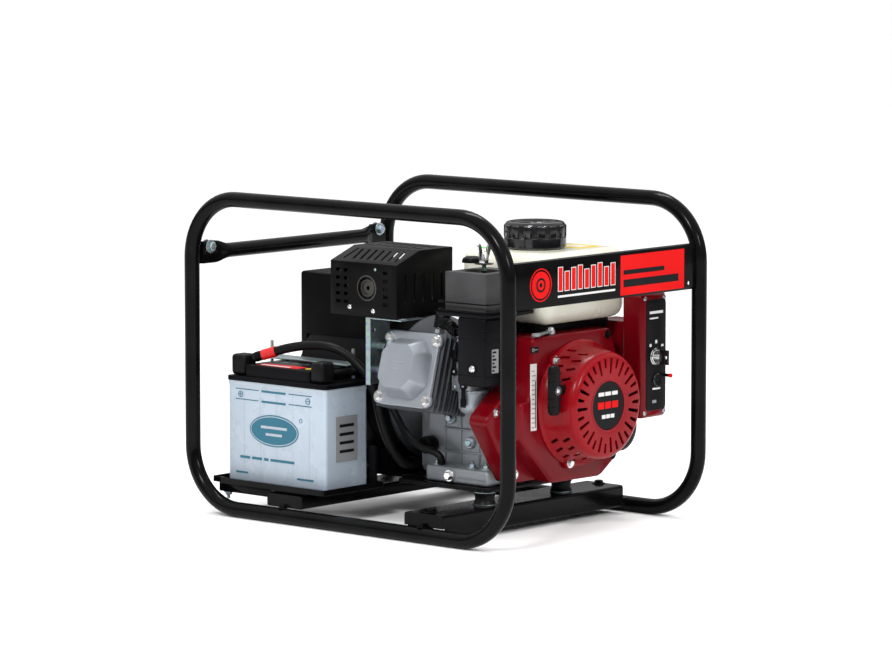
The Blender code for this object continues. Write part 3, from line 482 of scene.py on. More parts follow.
def add_screw(shape, centre, direction, radius, material):
    """A round screw head with a cross slot."""
    direction = Vector(direction).normalized()
    head = lathe([(0, radius * 0.45), (radius * 0.6, radius * 0.40), (radius, 0), (0, 0)], centre,
                 direction, 24)
    turn = direction.to_track_quat("Z", "Y").to_matrix().to_4x4()
    spot = Matrix.Translation(Vector(centre)) @ turn
    slots = [cuboid((-radius * 0.55, -radius * 0.1, radius * 0.22), (radius * 0.55, radius * 0.1, radius),
                    matrix=spot),
             cuboid((-radius * 0.1, -radius * 0.55, radius * 0.22), (radius * 0.1, radius * 0.55, radius),
                    matrix=spot)]
    shape.add(cut(head, *slots), material)


# Camera, lights and floor

def add_camera():
    data = bpy.data.cameras.new("camera")
    data.lens = 185.65
    data.sensor_width = 36
    data.clip_end = 50
    camera = put("camera", data)
    camera.location = (-4.6050, -4.0669, 0.9559)
    camera.rotation_euler = Vector((0.7449, 0.6573, -0.1145)).to_track_quat("-Z", "Y").to_euler()
    bpy.context.scene.camera = camera


def add_light(name, location, target, size, power):
    data = bpy.data.lights.new(name, "AREA")
    data.shape = "RECTANGLE"
    data.size, data.size_y = size
    data.energy = power
    light = put(name, data)
    light.location = location
    light.rotation_euler = (Vector(target) - Vector(location)).to_track_quat("-Z", "Y").to_euler()


def add_studio():
    """A wide pale floor under a sky that is bright overhead and dim at the horizon, with soft lamps."""
    world = bpy.data.worlds.new("studio")
    bpy.context.scene.world = world
    world.use_nodes = True
    tree = world.node_tree
    place = tree.nodes.new("ShaderNodeTexCoord")
    split = tree.nodes.new("ShaderNodeSeparateXYZ")
    rise = tree.nodes.new("ShaderNodeMapRange")
    rise.inputs["From Min"].default_value = 0.05
    rise.inputs["From Max"].default_value = 0.55
    rise.inputs["To Min"].default_value = 0.12
    rise.inputs["To Max"].default_value = 1.25
    tree.links.new(place.outputs["Generated"], split.inputs["Vector"])
    tree.links.new(split.outputs["Z"], rise.inputs["Value"])
    tree.links.new(rise.outputs["Result"], tree.nodes["Background"].inputs["Strength"])
    tree.nodes["Background"].inputs["Color"].default_value = (1, 1, 1, 1)
    middle = (0, 0, 0.2)
    add_light("key", (-2.4, -0.9, 2.2), middle, (0.6, 0.5), 55)
    add_light("front", (-0.6, -3.2, 1.9), middle, (0.4, 0.7), 40)
    add_light("top", (0.3, 0.6, 2.6), middle, (1.6, 0.3), 35)
    mesh = cuboid((-40, -40, -0.02), (40, 40, -0.0002))
    mesh.materials.append(finish("floor", (0.93, 0.93, 0.93), 0.6, tint=0.01, bump=0.0))
    made = put("floor", mesh)
    bpy.context.scene.view_settings.view_transform = "Standard"


# Frame

HOOP_X = 0.1955
TAB_BOLT = Vector((0.170, 0.2792, 0.360))


def hoop_points(x):
    """The centre line of a hoop: four straight sides and four round bends."""
    rise, half_y, bend, steps = 0.4187, 0.2815, 0.082, 16
    middle = TUBE_AXIS_Z + rise / 2
    points = []
    for quarter, (side_y, side_z) in enumerate(((1, 1), (-1, 1), (-1, -1), (1, -1))):
        for step in range(steps + 1):
            angle = math.pi / 2 * (quarter + step / steps)
            points.append((x, side_y * (half_y - bend) + bend * math.cos(angle),
                           middle + side_z * (rise / 2 - bend) + bend * math.sin(angle)))
    return points


def make_hoops():
    for name, side in (("left_hoop", -1), ("right_hoop", 1)):
        x = side * HOOP_X
        hoop = Shape().add(sweep(hoop_points(x), TUBE_R - 0.0003, 32, cyclic=True), BLACK_PAINT)
        ends = sorted((side * 0.192, side * 0.156))
        hoop.add(cuboid((ends[0], 0.2762, 0.337), (ends[1], 0.2792, 0.367), 0.0006), BLACK_PAINT)
        hoop.add(sweep([(side * 0.1860, 0.2785, 0.3375 + 0.003 * i) for i in range(10)], 0.0022, 12),
                 BLACK_PAINT)
        add_bolt(hoop, (side * TAB_BOLT.x, TAB_BOLT.y, TAB_BOLT.z), Y, 0.0065, 0.0055, ZINC, 0.009)
        for y in (-0.1335, 0.115):
            add_bolt(hoop, (x, y, 0.0203), Z, 0.0048, 0.0035, SATIN_BLACK, 0.0065)
        hoop.place(name)


def make_rear_cross_tube():
    """A tube with its ends pressed flat, between the tabs."""
    y, z, radius, flat_y, flat_z = 0.2737, 0.352, 0.010, 0.0022, 0.015
    sections = [(0.1835, 1), (0.158, 1)] + [(0.158 - 0.003 * i,
                                             0.5 + 0.5 * math.cos(math.pi * i / 8)) for i in range(1, 9)]
    sections = [(-x, w) for x, w in sections] + [(x, w) for x, w in reversed(sections)]
    bm = bmesh.new()
    rings = []
    for x, w in sections:
        half_y = radius + (flat_y - radius) * w
        half_z = radius + (flat_z - radius) * w
        angles = [2 * math.pi * i / 32 for i in range(32)]
        rings.append([bm.verts.new((x, y + half_y * math.cos(a), z + half_z * math.sin(a))) for a in angles])
    for first, second in zip(rings, rings[1:]):
        for i in range(32):
            j = (i + 1) % 32
            bm.faces.new((first[i], first[j], second[j], second[i]))
    bm.faces.new(rings[0])
    bm.faces.new(rings[-1])
    tube = Shape().add(mesh_from(bm), BLACK_PAINT)
    for side in (-1, 1):
        add_bolt(tube, (side * TAB_BOLT.x, y - 0.0021, TAB_BOLT.z), -Y, 0.0065, 0.0055, ZINC, 0.009)
    tube.place("rear_cross_tube")


def make_front_plate():
    """A folded sheet with plain colour blocks, a round badge and a row of bars."""
    low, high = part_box("front_plate")
    sheet, face = 0.002, low.y
    outline = [(low.y, low.z), (high.y, low.z), (high.y, low.z + sheet), (low.y + sheet, low.z + sheet),
               (low.y + sheet, high.z - sheet), (high.y, high.z - sheet), (high.y, high.z), (low.y, high.z)]
    body = prism(outline, low.x, high.x, "X", 0.0006, 2)
    plate = Shape().add(cut(body, rod((0.171, face - 0.01, 0.3215), Y, 0.03, 0.0028, sides=24)), BLACK_PAINT)
    skin = face - SKIN

    def patch(x0, x1, z0, z1, material, deep=0):
        plate.add(cuboid((x0, skin - deep, z0), (x1, face + 0.0001, z1)), material)

    def disc(x, z, radius, material, deep, inner=0.0):
        shape = ring((x, face, z), -Y, inner, radius, SKIN + deep, 40) if inner else rod((x, face, z), -Y,
            SKIN + deep, radius, 0, 40)
        plate.add(shape, material)

    patch(0.0270, 0.1600, low.z + 0.003, high.z - 0.0045, PRINT_RED)
    for i, (x0, x1) in enumerate(((0.033, 0.148), (0.033, 0.118))):
        patch(x0, x1, 0.3265 + 0.0165 * i, 0.3365 + 0.0125 * i, PRINT_BLACK, 0.0001)
    badge = (-0.134, 0.3425)
    disc(*badge, 0.0215, PRINT_RED, 0.00002, 0.0200)
    disc(*badge, 0.0175, PRINT_RED, 0.00002)
    disc(*badge, 0.0095, PRINT_BLACK, 0.0001, 0.0065)
    disc(*badge, 0.0030, PRINT_BLACK, 0.0001)
    for i in range(9):
        x0 = -0.100 + 0.0133 * i
        height = (0.032, 0.026, 0.030)[i % 3]
        patch(x0, x0 + 0.0098, 0.3312, 0.3312 + height, PRINT_WHITE, 0.00005)
        patch(x0 + 0.0009, x0 + 0.0089, 0.3321, 0.3303 + height, PRINT_RED, 0.0001)
    patch(-0.100, 0.016, 0.3235, 0.3262, PRINT_WHITE)
    plate.place("front_plate", sharp=40)


def make_rails():
    """The two base rails, with softened edges, an end cap and their bolts."""
    low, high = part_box("front_base_rail")
    wall, top_end, notch = 0.0025, 0.177, 0.0209
    outline = rounded([(low.y, low.z), (low.y, high.z), (high.y, high.z), (high.y, low.z)], 0.004)
    body = prism(outline, low.x, high.x, "X", 0.0005, 1)
    rail = Shape().add(cut(body, cuboid((low.x + wall, low.y + wall, -0.01),
                                        (top_end - wall, high.y - wall, high.z - wall)),
                           cuboid((top_end, low.y + wall, -0.01), (high.x + 0.01, high.y - wall, 0.05)),
                           cuboid((top_end, low.y - 0.01, 0.020), (high.x + 0.01, high.y + 0.01, 0.05)),
                           cuboid((low.x - 0.01, low.y - 0.01, -0.01), (-0.1849, high.y + 0.01, notch))),
                           BLACK_PAINT)
    for x in (-0.176, 0.166):
        add_bolt(rail, (x, -0.1335, high.z), Z, 0.006, 0.004, SATIN_BLACK, 0.009)
    rail.place("front_base_rail")
    low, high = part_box("rear_base_rail")
    outline = rounded([(low.y, low.z), (low.y, high.z), (high.y, high.z), (high.y, low.z)], 0.003)
    body = prism(outline, low.x, high.x, "X", 0.0005, 1)
    rail = Shape().add(cut(body, cuboid((low.x + wall, low.y + wall, -0.01),
                                        (high.x - wall, high.y - wall, high.z - wall))),
                       BLACK_PAINT)
    rail.place("rear_base_rail")


MOUNTS = {"front_left_mount": (-0.080, -0.142), "front_right_mount": (0.076, -0.142),
          "rear_left_mount": (-0.030, 0.115), "rear_right_mount": (0.090, 0.115)}


def make_cradle():
    floor, top = 0.0565, 0.0615
    outline = [(-0.096, -0.162), (0.118, -0.162), (0.118, 0.150), (-0.060, 0.150), (-0.060, 0.000),
               (-0.096, 0.000)]
    cradle = Shape().add(prism(rounded(outline, 0.008), floor, top, "Z", 0.0008, 2), BLACK_PAINT)
    saddle = cuboid((-0.020, 0.085, top - 0.001), (0.086, 0.148, 0.090), 0.001)
    cradle.add(cut(saddle, rod((CRANK_X, 0.07, CRANK_Z), Y, 0.1, 0.0984, sides=96)), BLACK_PAINT)
    for x in (-0.030, 0.090):
        add_bolt(cradle, (x, 0.115, top), Z, 0.0065, 0.005, ZINC, 0.009)
    cradle.place("engine_cradle")


def make_mounts():
    """Four rubber buffers between steel discs."""
    for name, (x, y) in MOUNTS.items():
        base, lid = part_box(name)
        tall = lid.z - base.z
        waist = [(0.0152 - 0.0022 * math.sin(math.pi * i / 12),
                  0.0015 + (tall - 0.003) * i / 12) for i in range(13)]
        mount = Shape().add(lathe([(0, 0.0015)] + waist + [(0, tall - 0.0015)], (x, y, base.z), Z, 40),
                            RUBBER)
        mount.add(rod((x, y, base.z), Z, 0.0016, 0.0148, 0.0003), ZINC)
        mount.add(rod((x, y, lid.z - 0.0016), Z, 0.0016, 0.0148, 0.0003), ZINC)
        mount.place(name)


# Battery

def make_battery_tray():
    low, sheet, end = 0.0422, 0.002, 0.256
    outline = [(-0.191, 0.045), (-0.070, 0.045), (-0.070, end), (-0.1849, end), (-0.1849, 0.236),
               (-0.191, 0.236)]
    soft = rounded(outline, 0.004)
    body = cut(prism(soft, low, 0.050, "Z", 0.0004, 1), prism(inset(outline, sheet), 0.0445, 0.060, "Z"))
    tray = Shape().add(body, BLACK_PAINT)
    for x in (-0.184, -0.100):
        tray.add(cuboid((x, 0.086, 0.0383), (x + 0.012, 0.148, 0.043), 0.0006), BLACK_PAINT)
        tray.add(cuboid((x + 0.001, 0.1475, 0.030), (x + 0.011, 0.245, 0.0432), 0.001), BLACK_PAINT)
        tray.add(thread((x + 0.006, 0.232, 0.0305), -Z, 0.010, 0.0022), ZINC)
        add_bolt(tray, (x + 0.006, 0.232, 0.0300), -Z, 0.0048, 0.0035)
    tray.add(cuboid((-0.086, 0.048, 0.0435), (-0.080, 0.059, 0.099), 0.0012), BLACK_PLASTIC)
    tray.place("battery_tray")


def make_battery_case():
    low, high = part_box("battery_case")
    outline = rounded([(low.x, low.y), (high.x, low.y), (high.x, high.y), (low.x, high.y)], 0.005, 5)
    case = Shape().add(domed(outline, high.z, low.z, 0.003, "Z"), CASE)
    case.add(prism(inset(outline, -0.0006), high.z - 0.006, high.z, "Z"), CASE)
    side, end = low.x, low.y
    for i in range(1, 6):
        y = low.y + (high.y - low.y) * i / 6
        case.add(cuboid((side - 0.00012, y - 0.0004, low.z + 0.006),
                        (side + 0.001, y + 0.0004, high.z - 0.0075)), CASE)

    def mark(y0, y1, z0, z1, material=PRINT_TEAL, lift=1.0):
        case.add(cuboid((side - 0.00045 * lift, y0, z0), (side + 0.0005, y1, z1)), material)

    def oval(ry, rz, lift, material):
        case.add(prism(circle(0.1540, 0.1180, ry, rz, 64), side - 0.0004 * lift, side + 0.0005, "X"),
                 material)

    for z in (0.1700, 0.1560):
        mark(0.1830, 0.2250, z, z + 0.0011)
        mark(0.0850, 0.1270, z, z + 0.0011)
        mark(0.1330, 0.1770, z - 0.0012, z + 0.0016)
    for y, upright in ((0.216, 1), (0.092, 0)):
        case.add(ring((side + 0.0003, y, 0.1634), -X, 0.0034, 0.0044, 0.0008, 32), PRINT_TEAL)
        mark(y - 0.0024, y + 0.0024, 0.1630, 0.1638)
        if upright:
            mark(y - 0.0004, y + 0.0004, 0.1610, 0.1658)
    oval(0.0450, 0.0215, 1.0, PRINT_TEAL)
    oval(0.0433, 0.0198, 1.2, CASE)
    oval(0.0420, 0.0185, 1.4, PRINT_TEAL)
    for i, half in enumerate((0.024, 0.015)):
        mark(0.154 - half, 0.154 + half, 0.1205 - 0.0095 * i, 0.1240 - 0.0095 * i, CASE, 2)
    case.add(ring((side + 0.0003, 0.105, 0.136), -X, 0.0022, 0.0029, 0.0008, 24), PRINT_TEAL)
    for y, width in ((0.199, 0.018), (0.177, 0.018), (0.165, 0.008), (0.117, 0.044)):
        mark(y, y + width, 0.0765, 0.0800)
    for y, width in ((0.203, 0.022), (0.082, 0.030)):
        mark(y, y + width, 0.0560, 0.0585)
    case.add(cuboid((-0.150, end - 0.0005, 0.082), (-0.108, end + 0.001, 0.143)), PRINT_GREY)
    for i in range(4):
        case.add(cuboid((-0.143, end - 0.0007, 0.094 + 0.0115 * i),
                        (-0.115, end + 0.001, 0.098 + 0.0115 * i)), PRINT_BLACK)
    case.place("battery_case")


POST_X = -0.152
POSTS = {"positive_boot": 0.227, "negative_boot": 0.082}


def make_battery_lid():
    low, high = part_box("battery_lid")
    lid_top = 0.1875
    outline = rounded([(low.x, low.y), (high.x, low.y), (high.x, high.y), (low.x, high.y)], 0.006, 5)
    lid = Shape().add(domed(outline, low.z, lid_top, 0.0012, "Z", 3), BLACK_PLASTIC)
    block = rounded([(-0.165, 0.095), (-0.089, 0.095), (-0.089, 0.213), (-0.165, 0.213)], 0.005, 5)
    lid.add(domed(block, 0.187, 0.2035, 0.0025, "Z"), BLACK_PLASTIC)
    for i in range(6):
        plug = (-0.118, 0.1065 + 0.0188 * i, 0.2032)
        lid.add(rod(plug, Z, 0.0006, 0.0062, 0.0002, 24), GLOSS_PLASTIC)
    for y in POSTS.values():
        lid.add(lathe([(0, 0.0105), (0.0055, 0.0105), (0.006, 0.0100), (0.0062, 0), (0, 0)],
                      (POST_X, y, 0.187), Z, 32),
                STEEL)
    lid.add(cuboid((-0.158, 0.122, 0.2034), (-0.138, 0.196, 0.2038)), PRINT_RED)
    lid.add(cuboid((-0.156, 0.140, 0.2034), (-0.150, 0.192, 0.2039)), PRINT_WHITE)
    lid.add(rod((-0.148, 0.110, 0.2034), Z, 0.0006, 0.0055, 0.0001, 24), PRINT_YELLOW)
    lid.place("battery_lid")


def make_battery_boots():
    for name, y in POSTS.items():
        low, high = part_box(name)
        body = cuboid(low, high, 0.005, 4)
        boot = Shape().add(cut(body, rod((POST_X, y, 0.18), Z, 0.0175, 0.0065)), RUBBER)
        boot.add(cuboid((low.x + 0.004, low.y - 0.0003, low.z + 0.002),
                        (high.x - 0.004, high.y + 0.0003, low.z + 0.004),
                        0.0005), RUBBER)
        boot.place(name)


def make_battery_clamp():
    rod_x, bar_top = -0.077, 0.207
    clamp = Shape().add(cuboid((-0.100, 0.085, 0.204), (-0.0705, 0.252, bar_top), 0.0010, 3), ZINC)
    for y in (0.095, 0.246):
        clamp.add(thread((rod_x, y, 0.0448), Z, 0.181, 0.0025, 0.001), ZINC)
        clamp.add(rod((rod_x, y, 0.2068), Z, 0.0012, 0.0085, 0.0003), ZINC)
        add_bolt(clamp, (rod_x, y, 0.2078), Z, 0.006, 0.005, CHROME, 0)
    clamp.place("battery_clamp")


POSITIVE_ROUTE = ((-0.1500, 0.2108, 0.2112), (-0.1430, 0.1970, 0.2160), (-0.1300, 0.1650, 0.2260),
                  (-0.1170, 0.1380, 0.2305), (-0.1100, 0.1080, 0.2300), (-0.1010, 0.0860, 0.2210),
                  (-0.0980, 0.0640, 0.2060), (-0.0930, 0.0500, 0.1900), (-0.0880, 0.0475, 0.1750),
                  (-0.0830, 0.0465, 0.1600), (-0.0760, 0.0420, 0.1250), (-0.0660, 0.0300, 0.0880),
                  (-0.0500, 0.0190, 0.0710), (-0.0200, 0.0180, 0.0700), (0.0400, 0.0180, 0.0700),
                  (0.0950, 0.0170, 0.0700), (0.1240, 0.0030, 0.0740), (0.1370, -0.0300, 0.0860),
                  (0.1400, -0.0620, 0.1060), (0.1380, -0.0880, 0.1220), (0.1380, -0.1090, 0.1240))
NEGATIVE_ROUTE = ((-0.1387, 0.0790, 0.1990), (-0.1200, 0.0785, 0.1990), (-0.1000, 0.0785, 0.1980),
                  (-0.0860, 0.0770, 0.1965), (-0.0770, 0.0710, 0.1900), (-0.0740, 0.0590, 0.1770),
                  (-0.0710, 0.0420, 0.1620), (-0.0700, 0.0260, 0.1440), (-0.0760, 0.0000, 0.1180),
                  (-0.0800, -0.0300, 0.1040), (-0.0780, -0.0500, 0.1000), (-0.0760, -0.0610, 0.0930),
                  (-0.0760, -0.0620, 0.0836))
LEAD_ROUTE = ((-0.1040, -0.1157, 0.2674), (-0.1030, -0.1205, 0.2674), (-0.0970, -0.1250, 0.2672),
              (-0.0850, -0.1265, 0.2665), (-0.0640, -0.1280, 0.2625), (-0.0490, -0.1335, 0.2550),
              (-0.0450, -0.1500, 0.2515), (-0.0450, -0.1680, 0.2515))
BOOT_ROUTE = ((-0.0935, -0.0780, 0.2745), (-0.0965, -0.0890, 0.2755), (-0.1010, -0.1000, 0.2735),
              (-0.1035, -0.1070, 0.2702), (-0.1040, -0.1118, 0.2680), (-0.1040, -0.1150, 0.2675))


def make_cables():
    for name, route, radius in (("positive_cable", POSITIVE_ROUTE, 0.0065),
                                ("negative_cable", NEGATIVE_ROUTE, 0.0050),
                                ("ignition_lead", LEAD_ROUTE, 0.0035)):
        points = smooth_route(route, 8)
        cable = Shape().add(sweep(points, radius - 0.0002, 20), RUBBER)
        if name == "positive_cable":
            cable.add(sweep(points[7:13], radius + 0.0008, 20), RED_BAND)
            cable.add(sweep(points[2:7], radius + 0.0004, 20), SATIN_BLACK)
        if name == "negative_cable":
            cable.add(sweep(points[-6:-1], radius + 0.0006, 20), SATIN_BLACK)
        cable.place(name, sharp=50)


# Engine

def make_crankcase():
    body = cuboid((-0.052, -0.150, 0.0618), (0.1045, -0.012, 0.245), 0.009, 4)
    foot = cuboid((-0.085, -0.150, 0.0618), (0.118, -0.042, 0.083), 0.004, 3)
    place = cylinder_matrix()
    barrel = rod((0, 0, 0.060), Z, 0.0798, 0.0398, sides=64)
    barrel.transform(place)
    body = boolean(boolean(body, [foot], "UNION"), [barrel], "UNION")
    bore = rod((0, 0, 0.030), Z, 0.2, 0.034, sides=48)
    bore.transform(place)
    body = cut(body, cuboid((-0.038, -0.140, 0.076), (0.096, 0, 0.232)), bore,
               rod((CRANK_X, -0.16, CRANK_Z), Y, 0.03, 0.013), rod((-0.060, -0.025, 0.105), X, 0.03, 0.008))
    case = Shape().add(body, CAST)
    # The cylinder fins take the darker copy of the cast aluminium, which paints the shade between them.
    for i in range(7):
        low = 0.095 + 0.0065 * i
        fin = cut(cuboid((-0.047, -0.047, low), (0.047, 0.047, low + 0.0022), 0.0006, 2),
                  rod((0, 0, low - 0.01), Z, 0.03, 0.035, sides=48))
        case.add(fin, SHADED_CAST, place)
    side = -0.052
    case.add(cuboid((-0.0660, -0.1400, 0.1640), (side + 0.004, -0.0180, 0.1730), 0.0035, 3), CAST)
    for z in (0.098, 0.128):
        case.add(cuboid((side - 0.0024, -0.140, z), (side + 0.004, -0.046, z + 0.0032), 0.0012), CAST)
    for y in (-0.142, -0.110, -0.078, -0.050):
        case.add(cuboid((side - 0.0018, y, 0.081), (side + 0.004, y + 0.0028, 0.163), 0.0009), CAST)
    for y, z in ((-0.138, 0.174), (-0.094, 0.113), (-0.060, 0.143)):
        case.add(rod((side + 0.001, y, z), -X, 0.0050, 0.0080, 0.001), CAST)
        add_bolt(case, (side - 0.0040, y, z), -X, 0.0050, 0.0035)
    for y in (-0.139, -0.115, -0.056):
        case.add(rod((-0.074, y, 0.0825), Z, 0.0022, 0.0078, 0.0006), CAST)
        add_bolt(case, (-0.074, y, 0.0845), Z, 0.0050, 0.0040)
        case.add(thread((-0.074, y, 0.0885), Z, 0.0045, 0.0026), ZINC)
    case.add(cuboid((-0.0862, -0.148, 0.0700), (-0.080, -0.100, 0.0728), 0.0008), CAST)
    case.add(rod((-0.083, -0.086, 0.072), -X, 0.0042, 0.0085, 0.0008), CAST)
    add_bolt(case, (-0.0872, -0.086, 0.072), -X, 0.006, 0.0048, CHROME, 0.0078)
    for y in (-0.139, -0.056):
        add_bolt(case, (0.110, y, 0.0827), Z, 0.0050, 0.0040)
    case.place("crankcase", sharp=30)


def make_side_cover():
    low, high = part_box("side_cover")
    outline = rounded([(low.x, low.z), (high.x, low.z), (high.x, high.z), (low.x, high.z)], 0.016, 6)
    body = cut(domed(outline, low.y, high.y, 0.004), rod((CRANK_X, -0.02, CRANK_Z), Y, 0.05, 0.013))
    cover = Shape().add(body, CAST)
    for x, z in ((-0.033, 0.074), (-0.033, 0.150), (-0.033, 0.226), (0.094, 0.074), (0.094, 0.150),
                 (0.094, 0.226),
                 (0.030, 0.230)):
        add_bolt(cover, (x, high.y - 0.0006, z), Y, 0.0046, 0.0030)
    cover.place("side_cover")


def make_head():
    place = cylinder_matrix()
    low = 0.1401
    # The head and its fins take the darker copy of the cast aluminium, which paints the shade among the fins.
    head = Shape().add(cuboid((-0.044, -0.044, low), (0.044, 0.044, 0.166), 0.003, 3), SHADED_CAST, place)
    for z in (low + 0.001, low + 0.011, low + 0.021):
        head.add(cuboid((-0.052, -0.050, z), (0.052, 0.050, z + 0.0025), 0.0008, 2), SHADED_CAST, place)
    for i in range(7):
        y = -0.042 + 0.014 * i
        head.add(cuboid((-0.0505, y - 0.0009, low + 0.002), (0.0505, y + 0.0009, low + 0.022), 0.0005, 1),
                 SHADED_CAST, place)
    for x in (-0.0375, 0.0375):
        for y in (-0.0375, 0.0375):
            head.add(rod((x, y, low - 0.0002), Z, 0.0262, 0.0085, 0.0006), SHADED_CAST, place)
    head.place("cylinder_head")


def make_valve_cover():
    place = cylinder_matrix()
    base = 0.1663
    flange = rounded([(-0.050, -0.046), (0.050, -0.046), (0.050, 0.046), (-0.050, 0.046)], 0.012, 6)
    cover = Shape().add(domed(flange, base, base + 0.0047, 0.0012, "Z"), SILVER, place)
    corner = 0.017
    dome = [(-0.039 + corner, -0.038), (0.039 - corner, -0.038), (0.039, -0.038 + corner),
            (0.039, 0.038 - corner),
            (0.039 - corner, 0.038), (-0.039 + corner, 0.038), (-0.039, 0.038 - corner),
            (-0.039, -0.038 + corner)]
    shell = loft([(rounded(dome, 0.004, 4), base + 0.002), (rounded(dome, 0.004, 4), base + 0.011),
                  (rounded(inset(dome, 0.0095), 0.003, 4), 0.1950),
                  (rounded(inset(dome, 0.0106), 0.003, 4), 0.196)])
    cover.add(shell, SILVER, place)
    for i, width in enumerate((0.009, 0.013)):
        cover.add(cuboid((-0.006 + 0.0090 * i, -width, 0.195), (-0.0030 + 0.0090 * i, width, 0.1966),
                         0.0005), SILVER, place)
    for x in (-0.040, 0.040):
        for y in (-0.041, 0.041):
            cover.add(rod((x, y, base), Z, 0.0056, 0.0090, 0.0008), SILVER, place)
            add_bolt(cover, (x, y, base + 0.0054), Z, 0.0058, 0.0040, CHROME, 0.0080, place)
    cover.add(lathe([(0, 0.008), (0.0052, 0.008), (0.0052, 0.0065), (0.0044, 0.006), (0.0044, 0), (0, 0)],
                    (0.026, 0.020, 0.1915), X, 24), SILVER, place)
    cover.place("valve_cover")


def make_spark_plug():
    place = cylinder_matrix()
    seat = (0.0524, -0.026, 0.150)
    ribs = [(0, 0.0210), (0.0022, 0.0210), (0.0030, 0.0200), (0.0030, 0.0180), (0.0042, 0.0168)]
    for i in range(4):
        z = 0.0160 - 0.0022 * i
        ribs += [(0.0045, z), (0.0045, z - 0.0011), (0.0039, z - 0.0014), (0.0039, z - 0.0020)]
    ribs += [(0.0045, 0.0066), (0, 0.0066)]
    plug = Shape().add(lathe(ribs, seat, X, 32), PRINT_WHITE, place)
    plug.add(lathe([(0, 0.0068), (0.0066, 0.0068), (0.0075, 0.0058), (0.0075, 0), (0, 0)], seat, X, 6),
             STEEL, place)
    plug.place("spark_plug")


def make_plug_cap():
    """A ribbed bulb on the plug, with an arm to the ignition lead."""
    up = Vector((math.sin(LEAN), 0, math.cos(LEAN)))
    foot = Vector((-0.0968, -0.078, 0.2602)) + up * 0.0085
    bulb = [(0, 0.0205), (0.0070, 0.0200), (0.0095, 0.0180), (0.0105, 0.0150)]
    for i in range(4):
        z = 0.0138 - 0.0032 * i
        bulb += [(0.0105, z), (0.0105, z - 0.0010), (0.0095, z - 0.0014), (0.0095, z - 0.0024)]
    bulb += [(0.0105, 0.0008), (0.0097, 0), (0, 0)]
    arm = smooth_route(BOOT_ROUTE, 6)
    solid = cut(lathe(bulb, foot, up, 48), rod(foot - up * 0.005, up, 0.0185, 0.0055))
    boot = Shape().add(solid, RUBBER).add(sweep(arm, 0.0072, 24), RUBBER)
    for i in range(5):
        boot.add(sweep(arm[9 + 4 * i:11 + 4 * i], 0.0080, 24), RUBBER)
    bail = [foot + up * 0.0195 + Vector((0.0098 * math.cos(a), 0.0098 * math.sin(a), 0.0030 * math.sin(a)))
            for a in [math.pi * i / 16 for i in range(17)]]
    boot.add(sweep(bail, 0.0010, 12), CHROME)
    boot.place("plug_cap")


def make_inner_parts():
    """Pieces that the covers hide keep their CAD meshes and take procedural materials."""
    for node, material in (("crankshaft", STEEL), ("piston", CAST), ("alternator_rotor", IRON),
                           ("air_filter_element", FOAM)):
        mesh = bpy.data.objects[node].data
        mesh.materials.clear()
        mesh.materials.append(material)


def make_flywheel():
    wheel = Shape()
    wheel.add(lathe([(0.0128, 0.030), (0.028, 0.030), (0.034, 0.018), (0.0765, 0.018), (0.077, 0.0175),
                     (0.077, 0.0005),
                     (0.0765, 0), (0.0128, 0)], crank_point(-0.168), -Y, 96, closed=True), IRON)
    for i in range(8):
        turn = Matrix.Translation(crank_point(-0.168)) @ Matrix.Rotation(-math.pi / 4 * i, 4, "Y")
        wheel.add(cuboid((0.040, -0.0350, -0.0012), (0.073, -0.0165, 0.0012), 0.0004, 1, turn), IRON)
    wheel.place("flywheel")


def make_reel():
    reel = [(0.0074, 0.022), (0.0575, 0.022), (0.058, 0.0215), (0.058, 0.0195), (0.045, 0.017),
            (0.045, 0.005),
            (0.058, 0.0025), (0.058, 0), (0.0074, 0)]
    Shape().add(lathe(reel, crank_point(-0.226), -Y, 96, closed=True), BLACK_PLASTIC).place("recoil_reel")


def make_stator():
    """Iron sheets with a copper coil head at each end."""
    stator = Shape()
    for i in range(12):
        stator.add(ring((CRANK_X, 0.072 + 0.0055 * i, CRANK_Z), Y, 0.060, 0.0915 if i % 2 else 0.0909,
                        0.0054, 96), IRON)
    for y, way in ((0.072, -1), (0.138, 1)):
        for i in range(24):
            angle = 2 * math.pi * i / 24
            spot = crank_point(y) + Vector((0.0745 * math.cos(angle), way * 0.0045, 0.0745 * math.sin(angle)))
            turn = Matrix.Translation(spot) @ Matrix.Rotation(-angle, 4, "Y")
            stator.add(cuboid((-0.0125, -0.0068, -0.0088), (0.0125, 0.0068, 0.0088), 0.003, 2, turn), COPPER)
    stator.place("alternator_stator")


STARTER = (0.138, 0.124)


